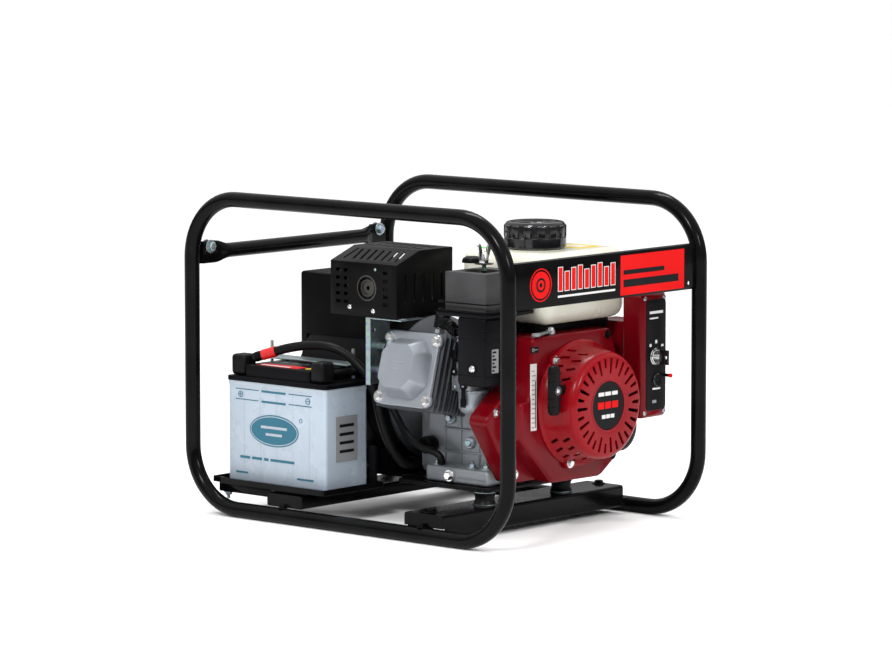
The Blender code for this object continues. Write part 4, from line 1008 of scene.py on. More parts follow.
def make_fan_shroud():
    wall, back, front_y, wing_y = 0.003, -0.1503, -0.208, -0.180
    front = [(-0.019, 0.066), (0.080, 0.065), (0.110, 0.085), (0.118, 0.130), (0.118, 0.215), (0.100, 0.262),
             (-0.060, 0.262), (-0.067, 0.179), (-0.084, 0.179), (-0.084, 0.128)]
    wing = [(-0.066, 0.068), (0.060, 0.067), (0.060, 0.261), (-0.066, 0.261), (-0.066, 0.195),
            (-0.086, 0.186),
            (-0.119, 0.160), (-0.121, 0.151)]
    body = boolean(domed(rounded(front, 0.007), back, front_y, 0.0045),
                   [domed(rounded(wing, 0.006), back, wing_y, 0.004)],
                   "UNION")
    body = cut(body, prism(inset(front, wall), front_y + wall, 0), prism(inset(wing, wall), wing_y + wall, 0),
               rod((CRANK_X, front_y - 0.01, CRANK_Z), Y, 0.02, 0.070, 0, 96),
               rod((STARTER[0], -0.2005, STARTER[1]), Y, 0.1, 0.0335, 0, 48))
    shroud = Shape().add(body, MAROON)
    for x, z in ((0.092, 0.254), (0.104, 0.092)):
        shroud.add(rod((x, front_y + 0.0005, z), -Y, 0.0011, 0.0075, 0.0004), MAROON)
        add_bolt(shroud, (x, front_y - 0.0005, z), -Y, 0.0040, 0.0026, SATIN_BLACK, 0.0060)
    shroud.add(cuboid((0.050, -0.1600, 0.2550), (0.1270, -0.1570, 0.2725), 0.0012), MAROON)
    add_bolt(shroud, (-0.1005, wing_y + 0.0002, 0.1655), -Y, 0.0042, 0.0028, CHROME, 0.0065)
    add_bolt(shroud, (-0.0640, wing_y + 0.0002, 0.0800), -Y, 0.0042, 0.0028, CHROME, 0.0065)
    label = front_y - SKIN
    shroud.add(cuboid((-0.0640, label, 0.2420), (-0.0490, front_y + 0.001, 0.2505)), PRINT_BLACK)
    shroud.add(ring((-0.0600, label + 0.0002, 0.2463), -Y, 0.0012, 0.0024, 0.0003, 32), PRINT_GREY)
    shroud.add(cuboid((-0.0575, label - 0.0001, 0.2457), (-0.0510, front_y + 0.001, 0.2468)), PRINT_GREY)
    shroud.add(cuboid((-0.0645, label, 0.140), (-0.0530, front_y + 0.001, 0.228)), PRINT_WHITE)
    for i in range(13):
        z = 0.1435 + 0.0062 * i
        shroud.add(cuboid((-0.0630, label - 0.0001, z), (-0.0575 + 0.0012 * (i % 3), front_y + 0.001,
                                                         z + 0.0015)),
                   PRINT_GREY)
    shroud.add(cuboid((-0.0560, label - 0.0001, 0.1435), (-0.0545, front_y + 0.001, 0.205)), PRINT_BLACK)
    shroud.place("fan_shroud", sharp=30)


def make_recoil():
    base = -0.2084
    depth, wall = 0.0506, 0.003
    profile = [(0, depth - 0.0015), (0.0326, depth - 0.0015), (0.0332, depth - 0.0003), (0.0350, depth),
               (0.0630, depth),
               (0.0655, depth - 0.0006), (0.0684, depth - 0.0026), (0.0706, depth - 0.0056),
               (0.0718, depth - 0.0100),
               (0.0740, depth - 0.021), (0.0762, depth - 0.0300), (0.0800, 0.0068), (0.0822, 0.0040),
               (0.0843, 0.0020),
               (0.0845, 0), (0.0785, 0), (0.0705, depth - 0.021), (0.068, depth - 0.0085),
               (0.0630, depth - wall),
               (0.007, depth - wall), (0.007, 0.0156), (0, 0.0156)]
    slots = []
    for i in range(30):
        inner = 0.0425 if i % 2 else 0.0500
        turn = Matrix.Translation(crank_point(-0.259)) @ Matrix.Rotation(-2 * math.pi * i / 30, 4, "Y")
        slots.append(prism(rounded([(inner, -0.0018), (0.0632, -0.0025), (0.0632, 0.0025), (inner, 0.0018)],
                                   0.0015, 2),
                           -0.006, 0.006))
        slots[-1].transform(turn)
    vents = []
    for degrees in (112, 124, 136, 148, 214, 226, 238, 250):
        angle = math.radians(degrees)
        for low in (0.0125, 0.0300):
            spot = crank_point(base) + Vector((0.0765 * math.cos(angle), -low, 0.0765 * math.sin(angle)))
            turn = Matrix.Translation(spot) @ Matrix.Rotation(-angle, 4, "Y") @ Matrix.Rotation(0.45, 4, "X")
            vents.append(cuboid((-0.010, -0.0062, -0.0021), (0.010, 0.0062, 0.0021), matrix=turn))
    body = cut(lathe(profile, crank_point(base), -Y, 120), merge(slots), merge(vents))
    cover = Shape().add(body, RED)
    cover.add(cuboid((-0.0445, -0.243, 0.189), (-0.034, -0.233, 0.201), 0.0015), BLACK_PLASTIC)
    cover.add(ring((CRANK_X, -0.2588, CRANK_Z), -Y, 0.0325, 0.0350, 0.0006, 96), RED)
    for degrees in (12, 132, 252):
        angle = math.radians(degrees)
        spot = Vector((CRANK_X + 0.0815 * math.cos(angle), base - 0.0014, CRANK_Z + 0.0815 * math.sin(angle)))
        cover.add(rod(spot + Y * 0.0013, -Y, 0.0065, 0.0080, 0.0012), RED)
        add_bolt(cover, spot - Y * 0.0050, -Y, 0.0046, 0.0034, CHROME, 0.0068)
    cover.place("recoil_cover", sharp=35)


def make_recoil_emblem():
    face = -0.2572 - 0.0012
    emblem = Shape().add(lathe([(0, 0.0012), (0.0316, 0.0012), (0.0323, 0.0006), (0.0323, 0), (0, 0)],
                               crank_point(-0.2572 - 0.0003), -Y, 96), PRINT_BLACK)
    skin = face - 0.0006
    for z, width, height, material in ((0.0135, 0.020, 0.0050, PRINT_WHITE),
                                       (-0.0035, 0.021, 0.0090, PRINT_RED),
                                       (-0.0165, 0.013, 0.0050, PRINT_WHITE)):
        for i in range(3):
            left = CRANK_X - width + i * width * 0.69
            emblem.add(cuboid((left, skin, CRANK_Z + z), (left + width * 0.58, face + 0.0004,
                                                          CRANK_Z + z + height)),
                       material)
    emblem.place("recoil_emblem")


def make_pull_grip():
    low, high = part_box("pull_grip")
    middle = (low + high) / 2
    grip = Shape().add(cuboid(low, high, 0.0062, 5), RUBBER)
    for z in (-0.022, -0.011, 0.011, 0.022):
        grip.add(cuboid((low.x - 0.0002, low.y - 0.0002, middle.z + z - 0.0012),
                        (high.x + 0.0002, high.y - 0.002, middle.z + z + 0.0012), 0.0010, 2), RUBBER)
    grip.add(ring((middle.x, low.y + 0.0003, middle.z), -Y, 0.0034, 0.0062, 0.0009, 32), GLOSS_PLASTIC)
    add_screw(grip, (middle.x, low.y + 0.0001, middle.z), -Y, 0.0036, CHROME)
    grip.place("pull_grip")


def make_starter_motor():
    x, z = STARTER
    motor = Shape().add(lathe([(0, 0.090), (0.0245, 0.090), (0.0290, 0.0885), (0.0320, 0.0860),
                               (0.0330, 0.0825),
                               (0.0330, 0.0720), (0.0322, 0.0712), (0.0322, 0.0700), (0.0330, 0.0692),
                               (0.033, 0.012),
                               (0.0320, 0.0085), (0.0290, 0.006), (0.012, 0.006), (0.012, 0), (0, 0)],
                              (x, -0.110, z), -Y, 72), SATIN_BLACK)
    for side in (-1, 1):
        add_bolt(motor, (x + side * 0.021, -0.1158, z), Y, 0.0040, 0.0030)
    motor.place("starter_motor")


def make_control_box():
    wall, front, middle, back = 0.0025, -0.245, -0.2095, -0.155
    lock = Vector((0.1485, front, 0.222))
    body = boolean(cuboid((0.1195, front, 0.140), (0.174, middle, 0.308), 0.007, 5),
                   [cuboid((0.1275, middle - 0.001, 0.160), (0.174, back, 0.268), 0.003, 3)], "UNION")
    body = cut(body, cuboid((0.122, front + wall, 0.1425), (0.1715, middle - wall, 0.3055)),
               cuboid((0.130, middle - 0.004, 0.1625), (0.1715, back + 0.01, 0.2655)))
    box = Shape().add(body, MAROON)
    panel = rounded([(0.1285, 0.150), (0.1695, 0.150), (0.1695, 0.299), (0.1285, 0.299)], 0.007, 5)
    box.add(domed(panel, front + 0.001, front - 0.0011, 0.0008), PRINT_BLACK)
    box.add(lathe([(0, 0.004), (0.0085, 0.004), (0.0092, 0.0032), (0.0110, 0.0030), (0.0118, 0.0020),
                   (0.0118, 0), (0, 0)],
                  lock + Y * 0.0012, -Y, 48), CHROME)
    face = front - 0.0014
    for x, z, w, h in ((0.1345, 0.236, 0.004, 0.004), (0.1465, 0.240, 0.004, 0.0045),
                       (0.1590, 0.235, 0.005, 0.003),
                       (0.1345, 0.280, 0.028, 0.0035), (0.1345, 0.273, 0.018, 0.0020)):
        box.add(cuboid((x, face, z), (x + w, front, z + h)), PRINT_WHITE)
    box.add(rod((0.1490, front + 0.001, 0.191), -Y, 0.0052, 0.0085, 0.001, 32), GLOSS_PLASTIC)
    box.add(cuboid((0.1410, face - 0.0005, 0.178), (0.1570, front, 0.1805), 0.0004), PRINT_WHITE)
    box.add(cuboid((0.1410, face, 0.1600), (0.1490, front, 0.1640)), PRINT_GREY)
    box.add(rod((0.1655, front + 0.001, 0.196), -Y, 0.0110, 0.0022, 0.0006), SATIN_BLACK)
    box.add(rod((0.1655, front - 0.0095, 0.196), -Y, 0.0050, 0.0028, 0.0010), PRINT_RED)
    box.add(cuboid((0.1183, -0.200, 0.180), (0.130, -0.170, 0.200), 0.001), MAROON)
    for x, z in ((0.1265, 0.3010), (0.1670, 0.3010), (0.1265, 0.1475), (0.1670, 0.1475)):
        add_screw(box, (x, front + 0.0002, z), -Y, 0.0032, ZINC)
    box.place("control_box")
    make_ignition_key(lock)


def make_ignition_key(lock):
    key = Shape().add(rod(lock - Y * 0.0023, -Y, 0.006, 0.0030, 0.0003), CHROME)
    key.add(cut(cuboid((lock.x - 0.0013, -0.268, lock.z - 0.010), (lock.x + 0.0013, -0.252, lock.z + 0.010),
                       0.0010, 3),
                rod((lock.x - 0.01, -0.2635, lock.z), X, 0.02, 0.0022)), GLOSS_PLASTIC)
    key.add(cuboid((lock.x - 0.0010, -0.2525, lock.z - 0.0035), (lock.x + 0.0010, -0.2485, lock.z + 0.0035),
                   0.0005), CHROME)
    key.place("ignition_key")


def make_carburettor():
    body = cuboid((-0.102, -0.1357, 0.188), (-0.058, -0.1026, 0.226), 0.005, 4)
    carb = Shape().add(body, CAST)
    for y in (-0.1357, -0.1056):
        carb.add(cuboid((-0.1015, y + 0.0001, 0.1885), (-0.0585, y + 0.0029, 0.2255), 0.0012), CAST)
    carb.add(lathe([(0, 0.037), (0.0215, 0.037), (0.0225, 0.0360), (0.0225, 0.0335), (0.0210, 0.0325),
                    (0.0205, 0.014),
                    (0.0185, 0.0085), (0.0150, 0.0050), (0.0060, 0.0040), (0, 0.0040)],
                    (-0.078, -0.1215, 0.153), Z, 64),
             SILVER)
    add_bolt(carb, (-0.078, -0.1215, 0.1572), -Z, 0.0048, 0.0038, ZINC, 0.0060)
    for y, z in ((-0.1300, 0.2200), (-0.1075, 0.1935)):
        add_screw(carb, (-0.1018, y, z), -X, 0.0026, ZINC)
    carb.add(rod((-0.0975, -0.1190, 0.2255), Z, 0.0050, 0.0040, 0.0006), CHROME)
    carb.place("carburettor")


def make_carburettor_levers():
    for name, y, z, way in (("choke_lever", -0.109, 0.214, 1), ("fuel_valve_lever", -0.125, 0.196, -1)):
        near = -0.1023
        tip_low, tip_high = sorted((z + way * 0.017, z + way * 0.0285))
        arm_low, arm_high = sorted((z, z + way * 0.024))
        lever = Shape().add(rod((near, y, z), -X, 0.0027, 0.0055, 0.0006), BLACK_PLASTIC)
        lever.add(cuboid((near - 0.0025, y - 0.0028, arm_low), (near - 0.0003, y + 0.0028, arm_high),
                         0.0006), BLACK_PLASTIC)
        lever.add(cuboid((near - 0.0027, y - 0.0044, tip_low), (near, y + 0.0044, tip_high), 0.0011, 3),
                  BLACK_PLASTIC)
        add_screw(lever, (near - 0.0026, y, z), -X, 0.0022, ZINC)
        lever.place(name)


def make_throttle_lever():
    lever = Shape().add(rod((-0.010, -0.195, 0.2623), Z, 0.0052, 0.0065), ZINC)
    arm = [(-0.0055, -0.1915), (-0.0480, -0.2030), (-0.0575, -0.2060), (-0.0615, -0.2145), (-0.0500, -0.2125),
           (-0.0120, -0.2005)]
    lever.add(prism(rounded(arm, 0.003), 0.2645, 0.2672, "Z", 0.0005, 1), ZINC)
    lever.add(cuboid((-0.0620, -0.2150, 0.2638), (-0.0520, -0.2060, 0.2682), 0.0016, 3), PRINT_GREY)
    add_bolt(lever, (-0.010, -0.195, 0.2674), Z, 0.0042, 0.0030, CHROME, 0.0058)
    lever.place("throttle_lever")


CLEANER_LOW, CLEANER_HIGH = Vector((-0.131, -0.189, 0.2973)), Vector((-0.035, -0.101, 0.358))
CLEANER_STUD = (-0.091, -0.150)


def make_cleaner_base():
    low, high, stud = CLEANER_LOW, CLEANER_HIGH, CLEANER_STUD
    base = Shape().add(cuboid((-0.130, -0.186, 0.200), (-0.070, -0.136, 0.293), 0.006, 4), BLACK_PLASTIC)
    base.add(cuboid((low.x, low.y, 0.2907), (high.x, high.y, 0.2970), 0.002, 3), BLACK_PLASTIC)
    for z in (0.214, 0.262, 0.274):
        base.add(cuboid((-0.1308, -0.1868, z), (-0.0692, -0.1352, z + 0.0014), 0.0005, 1), BLACK_PLASTIC)
    base.add(ring((-0.1298, -0.163, 0.224), -X, 0.0058, 0.0085, 0.0014, 40), BLACK_PLASTIC)
    add_screw(base, (-0.1298, -0.163, 0.224), -X, 0.0056, CHROME)
    base.add(thread((*stud, 0.295), Z, 0.077, 0.003), ZINC)
    label = -0.186 - SKIN
    base.add(cuboid((-0.1170, label, 0.219), (-0.1040, -0.185, 0.250)), PRINT_GREY)
    for i in range(6):
        base.add(cuboid((-0.1160, label - 0.0001, 0.2210 + 0.0048 * i),
                        (-0.1120 + 0.0035 * (i % 2), -0.185, 0.2235 + 0.0048 * i)),
                 PRINT_BLACK)
    base.place("air_cleaner_base")


def make_cleaner_cover():
    low, high, stud = CLEANER_LOW, CLEANER_HIGH, CLEANER_STUD
    outline = rounded([(low.x, low.y), (high.x, low.y), (high.x, high.y), (low.x, high.y)], 0.010, 6)
    slopes = [(inset(outline, amount), z) for amount, z in ((0, low.z), (0, 0.3495), (0.0062, 0.3570),
                                                            (0.0078, high.z))]
    shell = loft(slopes)
    inner = cuboid((low.x + 0.0025, low.y + 0.0025, 0.28), (high.x - 0.0025, high.y - 0.0025, 0.3488),
                   0.003, 2)
    cover = Shape().add(cut(shell, inner, rod((*stud, 0.33), Z, 0.05, 0.0034)), BLACK_PLASTIC)
    for z, lift in ((0.2976, 0.0012), (0.3080, 0.0006)):
        band = prism(inset(outline, -lift), z, z + 0.0020, "Z", 0.0004, 1)
        cover.add(cut(band, prism(inset(outline, 0.002), z - 0.01, z + 0.01, "Z")), BLACK_PLASTIC)
    cover.add(ring((*stud, 0.3577), Z, 0.0036, 0.0125, 0.0009, 48), BLACK_PLASTIC)
    cover.add(lathe([(0, 0.0085), (0.0080, 0.0080), (0.0115, 0.0060), (0.0130, 0.0030), (0.0135, 0), (0, 0)],
                    (-0.083, -0.122, 0.3575), Z, 48), BLACK_PLASTIC)
    cover.place("air_cleaner_cover")


def make_wing_nut():
    stud = CLEANER_STUD
    nut = Shape().add(lathe([(0.0033, 0.0157), (0.0045, 0.0157), (0.0052, 0.0140), (0.0068, 0.006),
                             (0.0072, 0.0010),
                             (0.0070, 0), (0.0033, 0)], (*stud, 0.3583), Z, 40, closed=True), CHROME)
    for side in (-1, 1):
        wing = [(0.0035, 0.3625), (0.0075, 0.3635), (0.0125, 0.3760), (0.0128, 0.3830), (0.0100, 0.3860),
                (0.0070, 0.3835),
                (0.0040, 0.3740)]
        outline = [(stud[0] + side * x, z) for x, z in wing]
        nut.add(prism(rounded(outline, 0.002, 3), stud[1] - 0.0014, stud[1] + 0.0014, "Y", 0.0005, 1), CHROME)
    nut.place("wing_nut")


FUEL_NECK = Vector((0.032, -0.133, 0.378))


def make_fuel_tank():
    low, high = Vector((-0.028, -0.205, 0.2735)), Vector((0.140, -0.050, 0.368))
    neck = FUEL_NECK
    wall = Vector((0.0025,) * 3)
    body = boolean(cuboid(low, high, 0.019, 7), [rod((neck.x, neck.y, 0.365), Z, 0.013, 0.034, 0.0006, 72)],
                   "UNION")
    body = cut(body, cuboid(low + wall, high - wall, 0.017, 4),
               rod((neck.x, neck.y, 0.350), Z, 0.04, 0.022, 0, 48))
    tank = Shape().add(body, CREAM)
    middle = 0.3165
    outline = rounded([(low.x - 0.004, low.y - 0.004), (high.x + 0.004, low.y - 0.004),
                       (high.x + 0.004, high.y + 0.004),
                       (low.x - 0.004, high.y + 0.004)], 0.020, 7)
    seam = prism(outline, middle, middle + 0.0022, "Z", 0.0006, 1)
    tank.add(cut(seam, prism(inset(outline, 0.007), middle - 0.01, middle + 0.01, "Z")), CREAM)
    tank.add(ring((neck.x, neck.y, 0.3670), Z, 0.0335, 0.0400, 0.0016, 72), CREAM)
    for x in (-0.006, 0.084):
        for y in (-0.135, -0.075):
            tank.add(cuboid((x, y, 0.2453), (x + 0.012, y + 0.008, low.z + 0.003), 0.001), SATIN_BLACK)
    tank.add(cuboid((-0.020, -0.178, 0.2590), (0.132, -0.062, 0.2745), 0.003), SATIN_BLACK)
    top = high.z
    tank.add(cuboid((0.070, -0.178, top - 0.001), (0.119, -0.128, top + 0.0003)), PRINT_YELLOW)
    tank.add(cuboid((0.082, -0.168, top - 0.001), (0.106, -0.140, top + 0.0005)), PRINT_WHITE)
    tank.add(cuboid((-0.006, -0.098, top - 0.001), (0.004, -0.066, top + 0.0003)), PRINT_GREEN)
    tank.place("fuel_tank", sharp=35)


def make_fuel_cap():
    """The seal on the neck, and the cap with its lobes."""
    neck = FUEL_NECK
    seat = (neck.x, neck.y, neck.z + 0.0003)
    seal = Shape().add(lathe([(0.023, 0.0014), (0.0335, 0.0014), (0.034, 0.0010), (0.034, 0.0003),
                              (0.0335, 0), (0.023, 0)],
                             seat, Z, 72, closed=True), RUBBER)
    seal.place("cap_seal")
    base = neck.z + 0.0020
    profile = [(0, 0.0225), (0.0270, 0.0225), (0.0285, 0.0245), (0.0345, 0.0250), (0.0375, 0.0243),
               (0.0393, 0.0224),
               (0.0400, 0.0195), (0.0400, 0.0050), (0.0415, 0.0035), (0.0415, -0.0080), (0.0408, -0.009),
               (0.0370, -0.009),
               (0.0370, 0), (0, 0)]
    cap = Shape().add(lathe(profile, (neck.x, neck.y, base), Z, 96), GLOSS_PLASTIC)
    for i in range(14):
        turn = Matrix.Translation((neck.x, neck.y, base)) @ Matrix.Rotation(2 * math.pi * i / 14, 4, "Z")
        cap.add(cuboid((0.0340, -0.0058, 0.0040), (0.0416, 0.0058, 0.0212), 0.0020, 3, turn), GLOSS_PLASTIC)
    for angle in (0.5, 0.5 + math.pi / 2):
        turn = Matrix.Translation((neck.x, neck.y, base)) @ Matrix.Rotation(angle, 4, "Z")
        cap.add(cuboid((-0.0265, -0.0030, 0.0215), (0.0265, 0.0030, 0.0238), 0.0010, 2, turn), GLOSS_PLASTIC)
    cap.place("fuel_cap")


def make_exhaust():
    shelf, web_y = 0.280, 0.0135
    angle = [(-0.1415, web_y), (-0.1415, 0.0055), (-0.1400, 0.0055), (-0.1400, web_y - 0.0015),
             (-0.0950, web_y - 0.0015),
             (-0.0950, web_y)]
    web = cut(prism(angle, 0.190, shelf, "Z", 0.0003, 1), rod((-0.1270, 0, 0.262), Y, 0.05, 0.0030))
    bracket = Shape().add(web, ZINC)
    bracket.add(cuboid((-0.1415, -0.050, shelf - 0.0015), (-0.0950, web_y, shelf), 0.0005), ZINC)
    for z in (0.208, 0.240):
        bracket.add(rod((-0.1180, web_y - 0.001, z), -Y, 0.0142, 0.005), ZINC)
        add_bolt(bracket, (-0.1180, web_y - 0.0002, z), Y, 0.0055, 0.0040)
    add_bolt(bracket, (-0.1300, -0.042, shelf - 0.0002), Z, 0.0045, 0.0001)
    bracket.place("muffler_bracket")
    outlet = Vector((-0.139, 0.013, 0.3185))
    body = boolean(cuboid((-0.128, -0.028, 0.296), (-0.040, 0.066, 0.350), 0.013, 5),
                   [rod((outlet.x, outlet.y, outlet.z), X, 0.020, 0.012, 0.0008, 64),
                    rod((-0.110, -0.012, shelf + 0.0003), Z, 0.020, 0.011, 0.0006, 48)], "UNION")
    body = cut(body, rod(outlet - X * 0.01, X, 0.026, 0.0095, 0, 48))
    muffler = Shape().add(body, DARK_STEEL)
    muffler.add(ring(outlet + X * 0.003, -X, 0.0030, 0.0094, 0.0012, 48), DARK_STEEL)
    muffler.place("muffler")
    make_guard(shelf + 0.0003, outlet)


def make_guard(low, outlet):
    left, right, top, shoulder, sheet, front, back = -0.140, -0.028, 0.369, 0.352, 0.0016, -0.040, 0.078
    outline = [(left, low), (right, low), (right, top), (-0.094, top), (left, shoulder)]
    inner = [(left + sheet, low - 0.02), (right + 0.02, low - 0.02), (right + 0.02, top - sheet),
             (-0.094 + 0.0003, top - sheet), (left + sheet, shoulder - 0.0011)]
    body = cut(prism(outline, front, back, "Y", 0.0007, 2), prism(inner, front + sheet, back - sheet, "Y"),
               rod(outlet - X * 0.01, X, 0.02, 0.015, 0, 64))
    slope = Matrix.Rotation(math.atan2(top - shoulder, left + 0.094) + math.pi, 4, "Y")
    slots = [cuboid((-0.0155, -0.0017, -0.01), (0.0155, 0.0017, 0.01),
                    matrix=Matrix.Translation((-0.117, 0.062, 0.3605)) @ slope)]
    for i in range(8):
        y = -0.026 + 0.0125 * i
        if i < 7:
            turn = Matrix.Translation((-0.117, y, 0.3605)) @ slope @ Matrix.Rotation(0.25, 4, "Z")
            slots.append(cuboid((-0.0155, -0.0021, -0.01), (0.0155, 0.0021, 0.01), 0.0008, 1, turn))
        slots.append(cuboid((-0.086, y, 0.36), (-0.070, y + 0.0044, 0.38)))
        slots.append(cuboid((-0.058, y, 0.36), (-0.042, y + 0.0044, 0.38)))
    for y in (0.064, 0.050, -0.020):
        for i in range(5):
            z = 0.296 + 0.0105 * i
            slots.append(cuboid((left - 0.01, y - 0.0042, z), (left + 0.01, y + 0.0042, z + 0.0046)))
    for i in range(5):
        slots.append(cuboid((-0.124 + 0.018 * i, front - 0.01, 0.300),
                            (-0.1205 + 0.018 * i, front + 0.01, 0.338)))
        slots.append(cuboid((-0.124 + 0.018 * i, back - 0.01, 0.300),
                            (-0.1205 + 0.018 * i, back + 0.01, 0.338)))
    guard = Shape().add(cut(body, merge(slots)), SATIN_BLACK)
    guard.add(ring(outlet - X * 0.0002, -X, 0.0152, 0.0172, 0.0012, 64), DARK_STEEL)
    for y, z in ((0.044, 0.2915), (0.002, 0.2885)):
        add_screw(guard, (left + 0.0001, y, z), -X, 0.0034, CHROME)
    add_screw(guard, (left + 0.0001, -0.002, 0.344), -X, 0.0022, ZINC)
    guard.place("muffler_guard", sharp=30)


def make_oil_cap():
    profile = [(0, 0.0157), (0.0092, 0.0157), (0.0110, 0.0148), (0.0120, 0.0130), (0.0120, 0.0010),
               (0.0115, 0), (0.0075, 0), (0.0075, -0.010), (0, -0.010)]
    cap = Shape().add(lathe(profile, (-0.0523, -0.025, 0.105), -X, 64), BLACK_PLASTIC)
    cap.add(cuboid((-0.0700, -0.0268, 0.0960), (-0.0655, -0.0232, 0.1140), 0.0012), BLACK_PLASTIC)
    cap.place("oil_filler_cap")


# Alternator

ALTERNATOR_R = 0.098


def make_alternator_bell():
    bell_low, bell_back, radius = 0.0043, 0.0452, ALTERNATOR_R
    length = bell_back - bell_low
    body = lathe([(0.093, length), (radius - 0.0008, length), (radius, length - 0.0008),
                  (radius, length - 0.0045),
                  (0.0705, 0.0008), (0.0690, 0), (0.015, 0), (0.015, 0.005), (0.067, 0.005),
                  (0.093, length - 0.003)],
                 crank_point(bell_low), Y, 120, closed=True)
    # The bell and its ribs take the darker copy of the cast aluminium, which paints shade.
    bell = Shape().add(body, SHADED_CAST)
    for i in range(12):
        turn = Matrix.Translation(crank_point(bell_low)) @ Matrix.Rotation(math.pi / 6 * i, 4, "Y")
        rib = prism([(0.0705, 0.0015), (0.0985, length - 0.0025), (0.0975, length - 0.0035),
                     (0.0930, length - 0.0045)],
                    -0.0012, 0.0012, "Z")
        bell.add(rib, SHADED_CAST, turn)
    bell.place("alternator_bell")


def make_alternator_shell():
    radius = ALTERNATOR_R
    shell_low, shell_back = 0.0455, 0.215
    length, hub = shell_back - shell_low, 0.160 - shell_low
    profile = [(0, length), (0.0885, length), (0.0935, length - 0.0012), (0.0967, length - 0.0040),
               (radius, length - 0.008),
               (radius, 0.0420), (radius - 0.0014, 0.0412), (radius - 0.0014, 0.0395), (radius, 0.0387),
               (radius, 0), (0.092, 0), (0.092, length - 0.003), (0.022, length - 0.003), (0.022, hub),
               (0.013, hub),
               (0.013, length - 0.003), (0, length - 0.003)]
    solid = lathe(profile, crank_point(shell_low), Y, 120)
    vents = []
    for i in range(-5, 6):
        x, z = CRANK_X + 0.0125 * i, 0.0850
        vent = cuboid((x - 0.0026, 0.205, z), (x + 0.0026, 0.225, z + 0.045 - 0.0022 * abs(i) ** 1.2), 0.0012)
        vent.transform(Matrix.Translation((0, 0, 0.0020 * abs(i) ** 1.3)))
        vents.append(vent)
    shell = Shape().add(cut(solid, merge(vents)), SATIN_BLACK)
    shell.add(lathe([(0, 0.0035), (0.0230, 0.0035), (0.0260, 0.0015), (0.0260, 0), (0, 0)],
                    crank_point(shell_back - 0.001),
                    Y, 72), SATIN_BLACK)
    for degrees in (-150, -110, -70, -30):
        angle = math.radians(degrees)
        spot = crank_point(shell_back - 0.0006) + Vector((0.087 * math.cos(angle), 0,
                                                          0.087 * math.sin(angle)))
        add_bolt(shell, spot, Y, 0.0046, 0.0032)
    shell.place("alternator_shell", sharp=30)


SOCKETS = {"left": -0.005, "right": 0.062}
SOCKET_Z = 0.268
OUTLET_FACE = 0.228


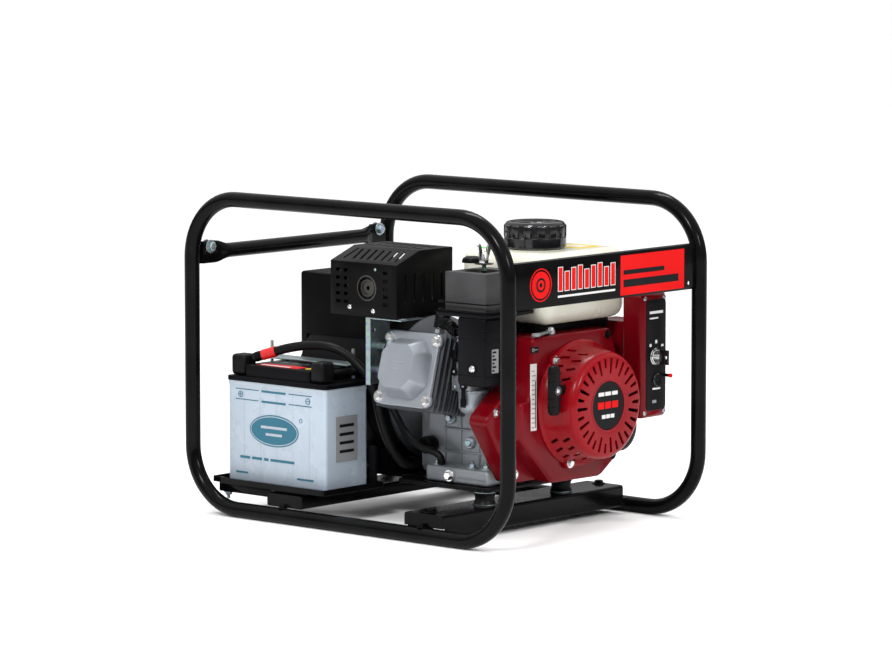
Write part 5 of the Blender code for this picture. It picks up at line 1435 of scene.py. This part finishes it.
def make_outlet_box():
    low, high, wall = Vector((-0.040, 0.080, 0.215)), Vector((0.105, OUTLET_FACE, 0.320)), 0.003
    body = cut(cuboid(low, high, 0.0045, 4),
               cuboid((low.x + wall, low.y - 0.01, low.z + wall), (high.x - wall, 0.195, high.z - wall)),
               rod((CRANK_X, low.y - 0.01, CRANK_Z), Y, 0.1454, 0.0984, 0, 120))
    wells = [rod((x, high.y - 0.0105, SOCKET_Z), Y, 0.02, 0.024, 0, 72) for x in SOCKETS.values()]
    outlets = Shape().add(cut(body, *wells), SATIN_BLACK)
    face = OUTLET_FACE
    for x in SOCKETS.values():
        outlets.add(ring((x, face - 0.0006, SOCKET_Z), Y, 0.0242, 0.0285, 0.0012, 72), BLACK_PLASTIC)
        outlets.add(rod((x, face - 0.0103, SOCKET_Z), Y, 0.0010, 0.0225, 0.0002, 64), PRINT_GREY)
        for dx in (-0.0095, 0.0095):
            # Black discs stand in for the pin holes: painted shade of the openings, not cut holes.
            outlets.add(rod((x + dx, face - 0.0094, SOCKET_Z), Y, 0.0004, 0.0028, 0.0001, 24), PRINT_BLACK)
            outlets.add(cuboid((x + dx - 0.004, face - 0.0010, 0.2955),
                               (x + dx + 0.004, face + 0.0062, 0.3000), 0.0010),
                        BLACK_PLASTIC)
        outlets.add(cuboid((x - 0.002, face - 0.0095, 0.252), (x + 0.002, face - 0.0090, 0.257)), ZINC)
    outlets.add(ring((0.0285, face - 0.0004, 0.306), Y, 0.0058, 0.0090, 0.0018, 48), GLOSS_PLASTIC)
    for x, z in ((-0.034, 0.312), (0.099, 0.312), (-0.034, 0.248), (0.099, 0.248)):
        add_screw(outlets, (x, face - 0.0001, z), Y, 0.0030, ZINC)
    outlets.place("outlet_box", sharp=30)


def make_socket_lids():
    face = OUTLET_FACE
    for side, x in SOCKETS.items():
        hinge = (x - 0.0050, face + 0.0035, 0.295)
        lid = Shape().add(rod(hinge, X, 0.010, 0.003, 0.0004), BLACK_PLASTIC)
        lid.add(lathe([(0, 0.0080), (0.0205, 0.0080), (0.0240, 0.0068), (0.0258, 0.0040), (0.0260, 0.0010),
                       (0.0256, 0),
                       (0, 0)], (x, face + 0.0003, SOCKET_Z), Y, 72), BLACK_PLASTIC)
        lid.add(cuboid((x - 0.008, face + 0.0010, 0.2412), (x + 0.008, face + 0.0088, 0.2465), 0.0012),
                BLACK_PLASTIC)
        lid.place("socket_lid_" + side)


def make_breaker_button():
    button_low, button_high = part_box("breaker_button")
    middle = (button_low + button_high) / 2
    length = button_high.y - button_low.y
    button = Shape().add(lathe([(0, length), (0.0044, length), (0.0053, length - 0.0008),
                                (0.0055, length - 0.0016),
                                (0.0055, 0), (0, 0)], (middle.x, button_low.y, middle.z), Y, 48), PRINT_RED)
    button.place("breaker_button")


MAKERS = (make_hoops, make_rear_cross_tube, make_front_plate, make_rails, make_cradle, make_mounts,
          make_battery_tray, make_battery_case, make_battery_lid, make_battery_boots,
          make_battery_clamp, make_cables, make_crankcase, make_side_cover, make_head,
          make_valve_cover, make_spark_plug, make_plug_cap, make_inner_parts, make_flywheel, make_reel,
          make_stator, make_fan_shroud, make_recoil, make_recoil_emblem, make_pull_grip,
          make_starter_motor, make_control_box, make_carburettor, make_carburettor_levers,
          make_throttle_lever, make_cleaner_base, make_cleaner_cover, make_wing_nut, make_fuel_tank,
          make_fuel_cap, make_exhaust, make_oil_cap, make_alternator_bell, make_alternator_shell,
          make_outlet_box, make_socket_lids, make_breaker_button)

add_camera()
add_studio()
for make in MAKERS:
    make()
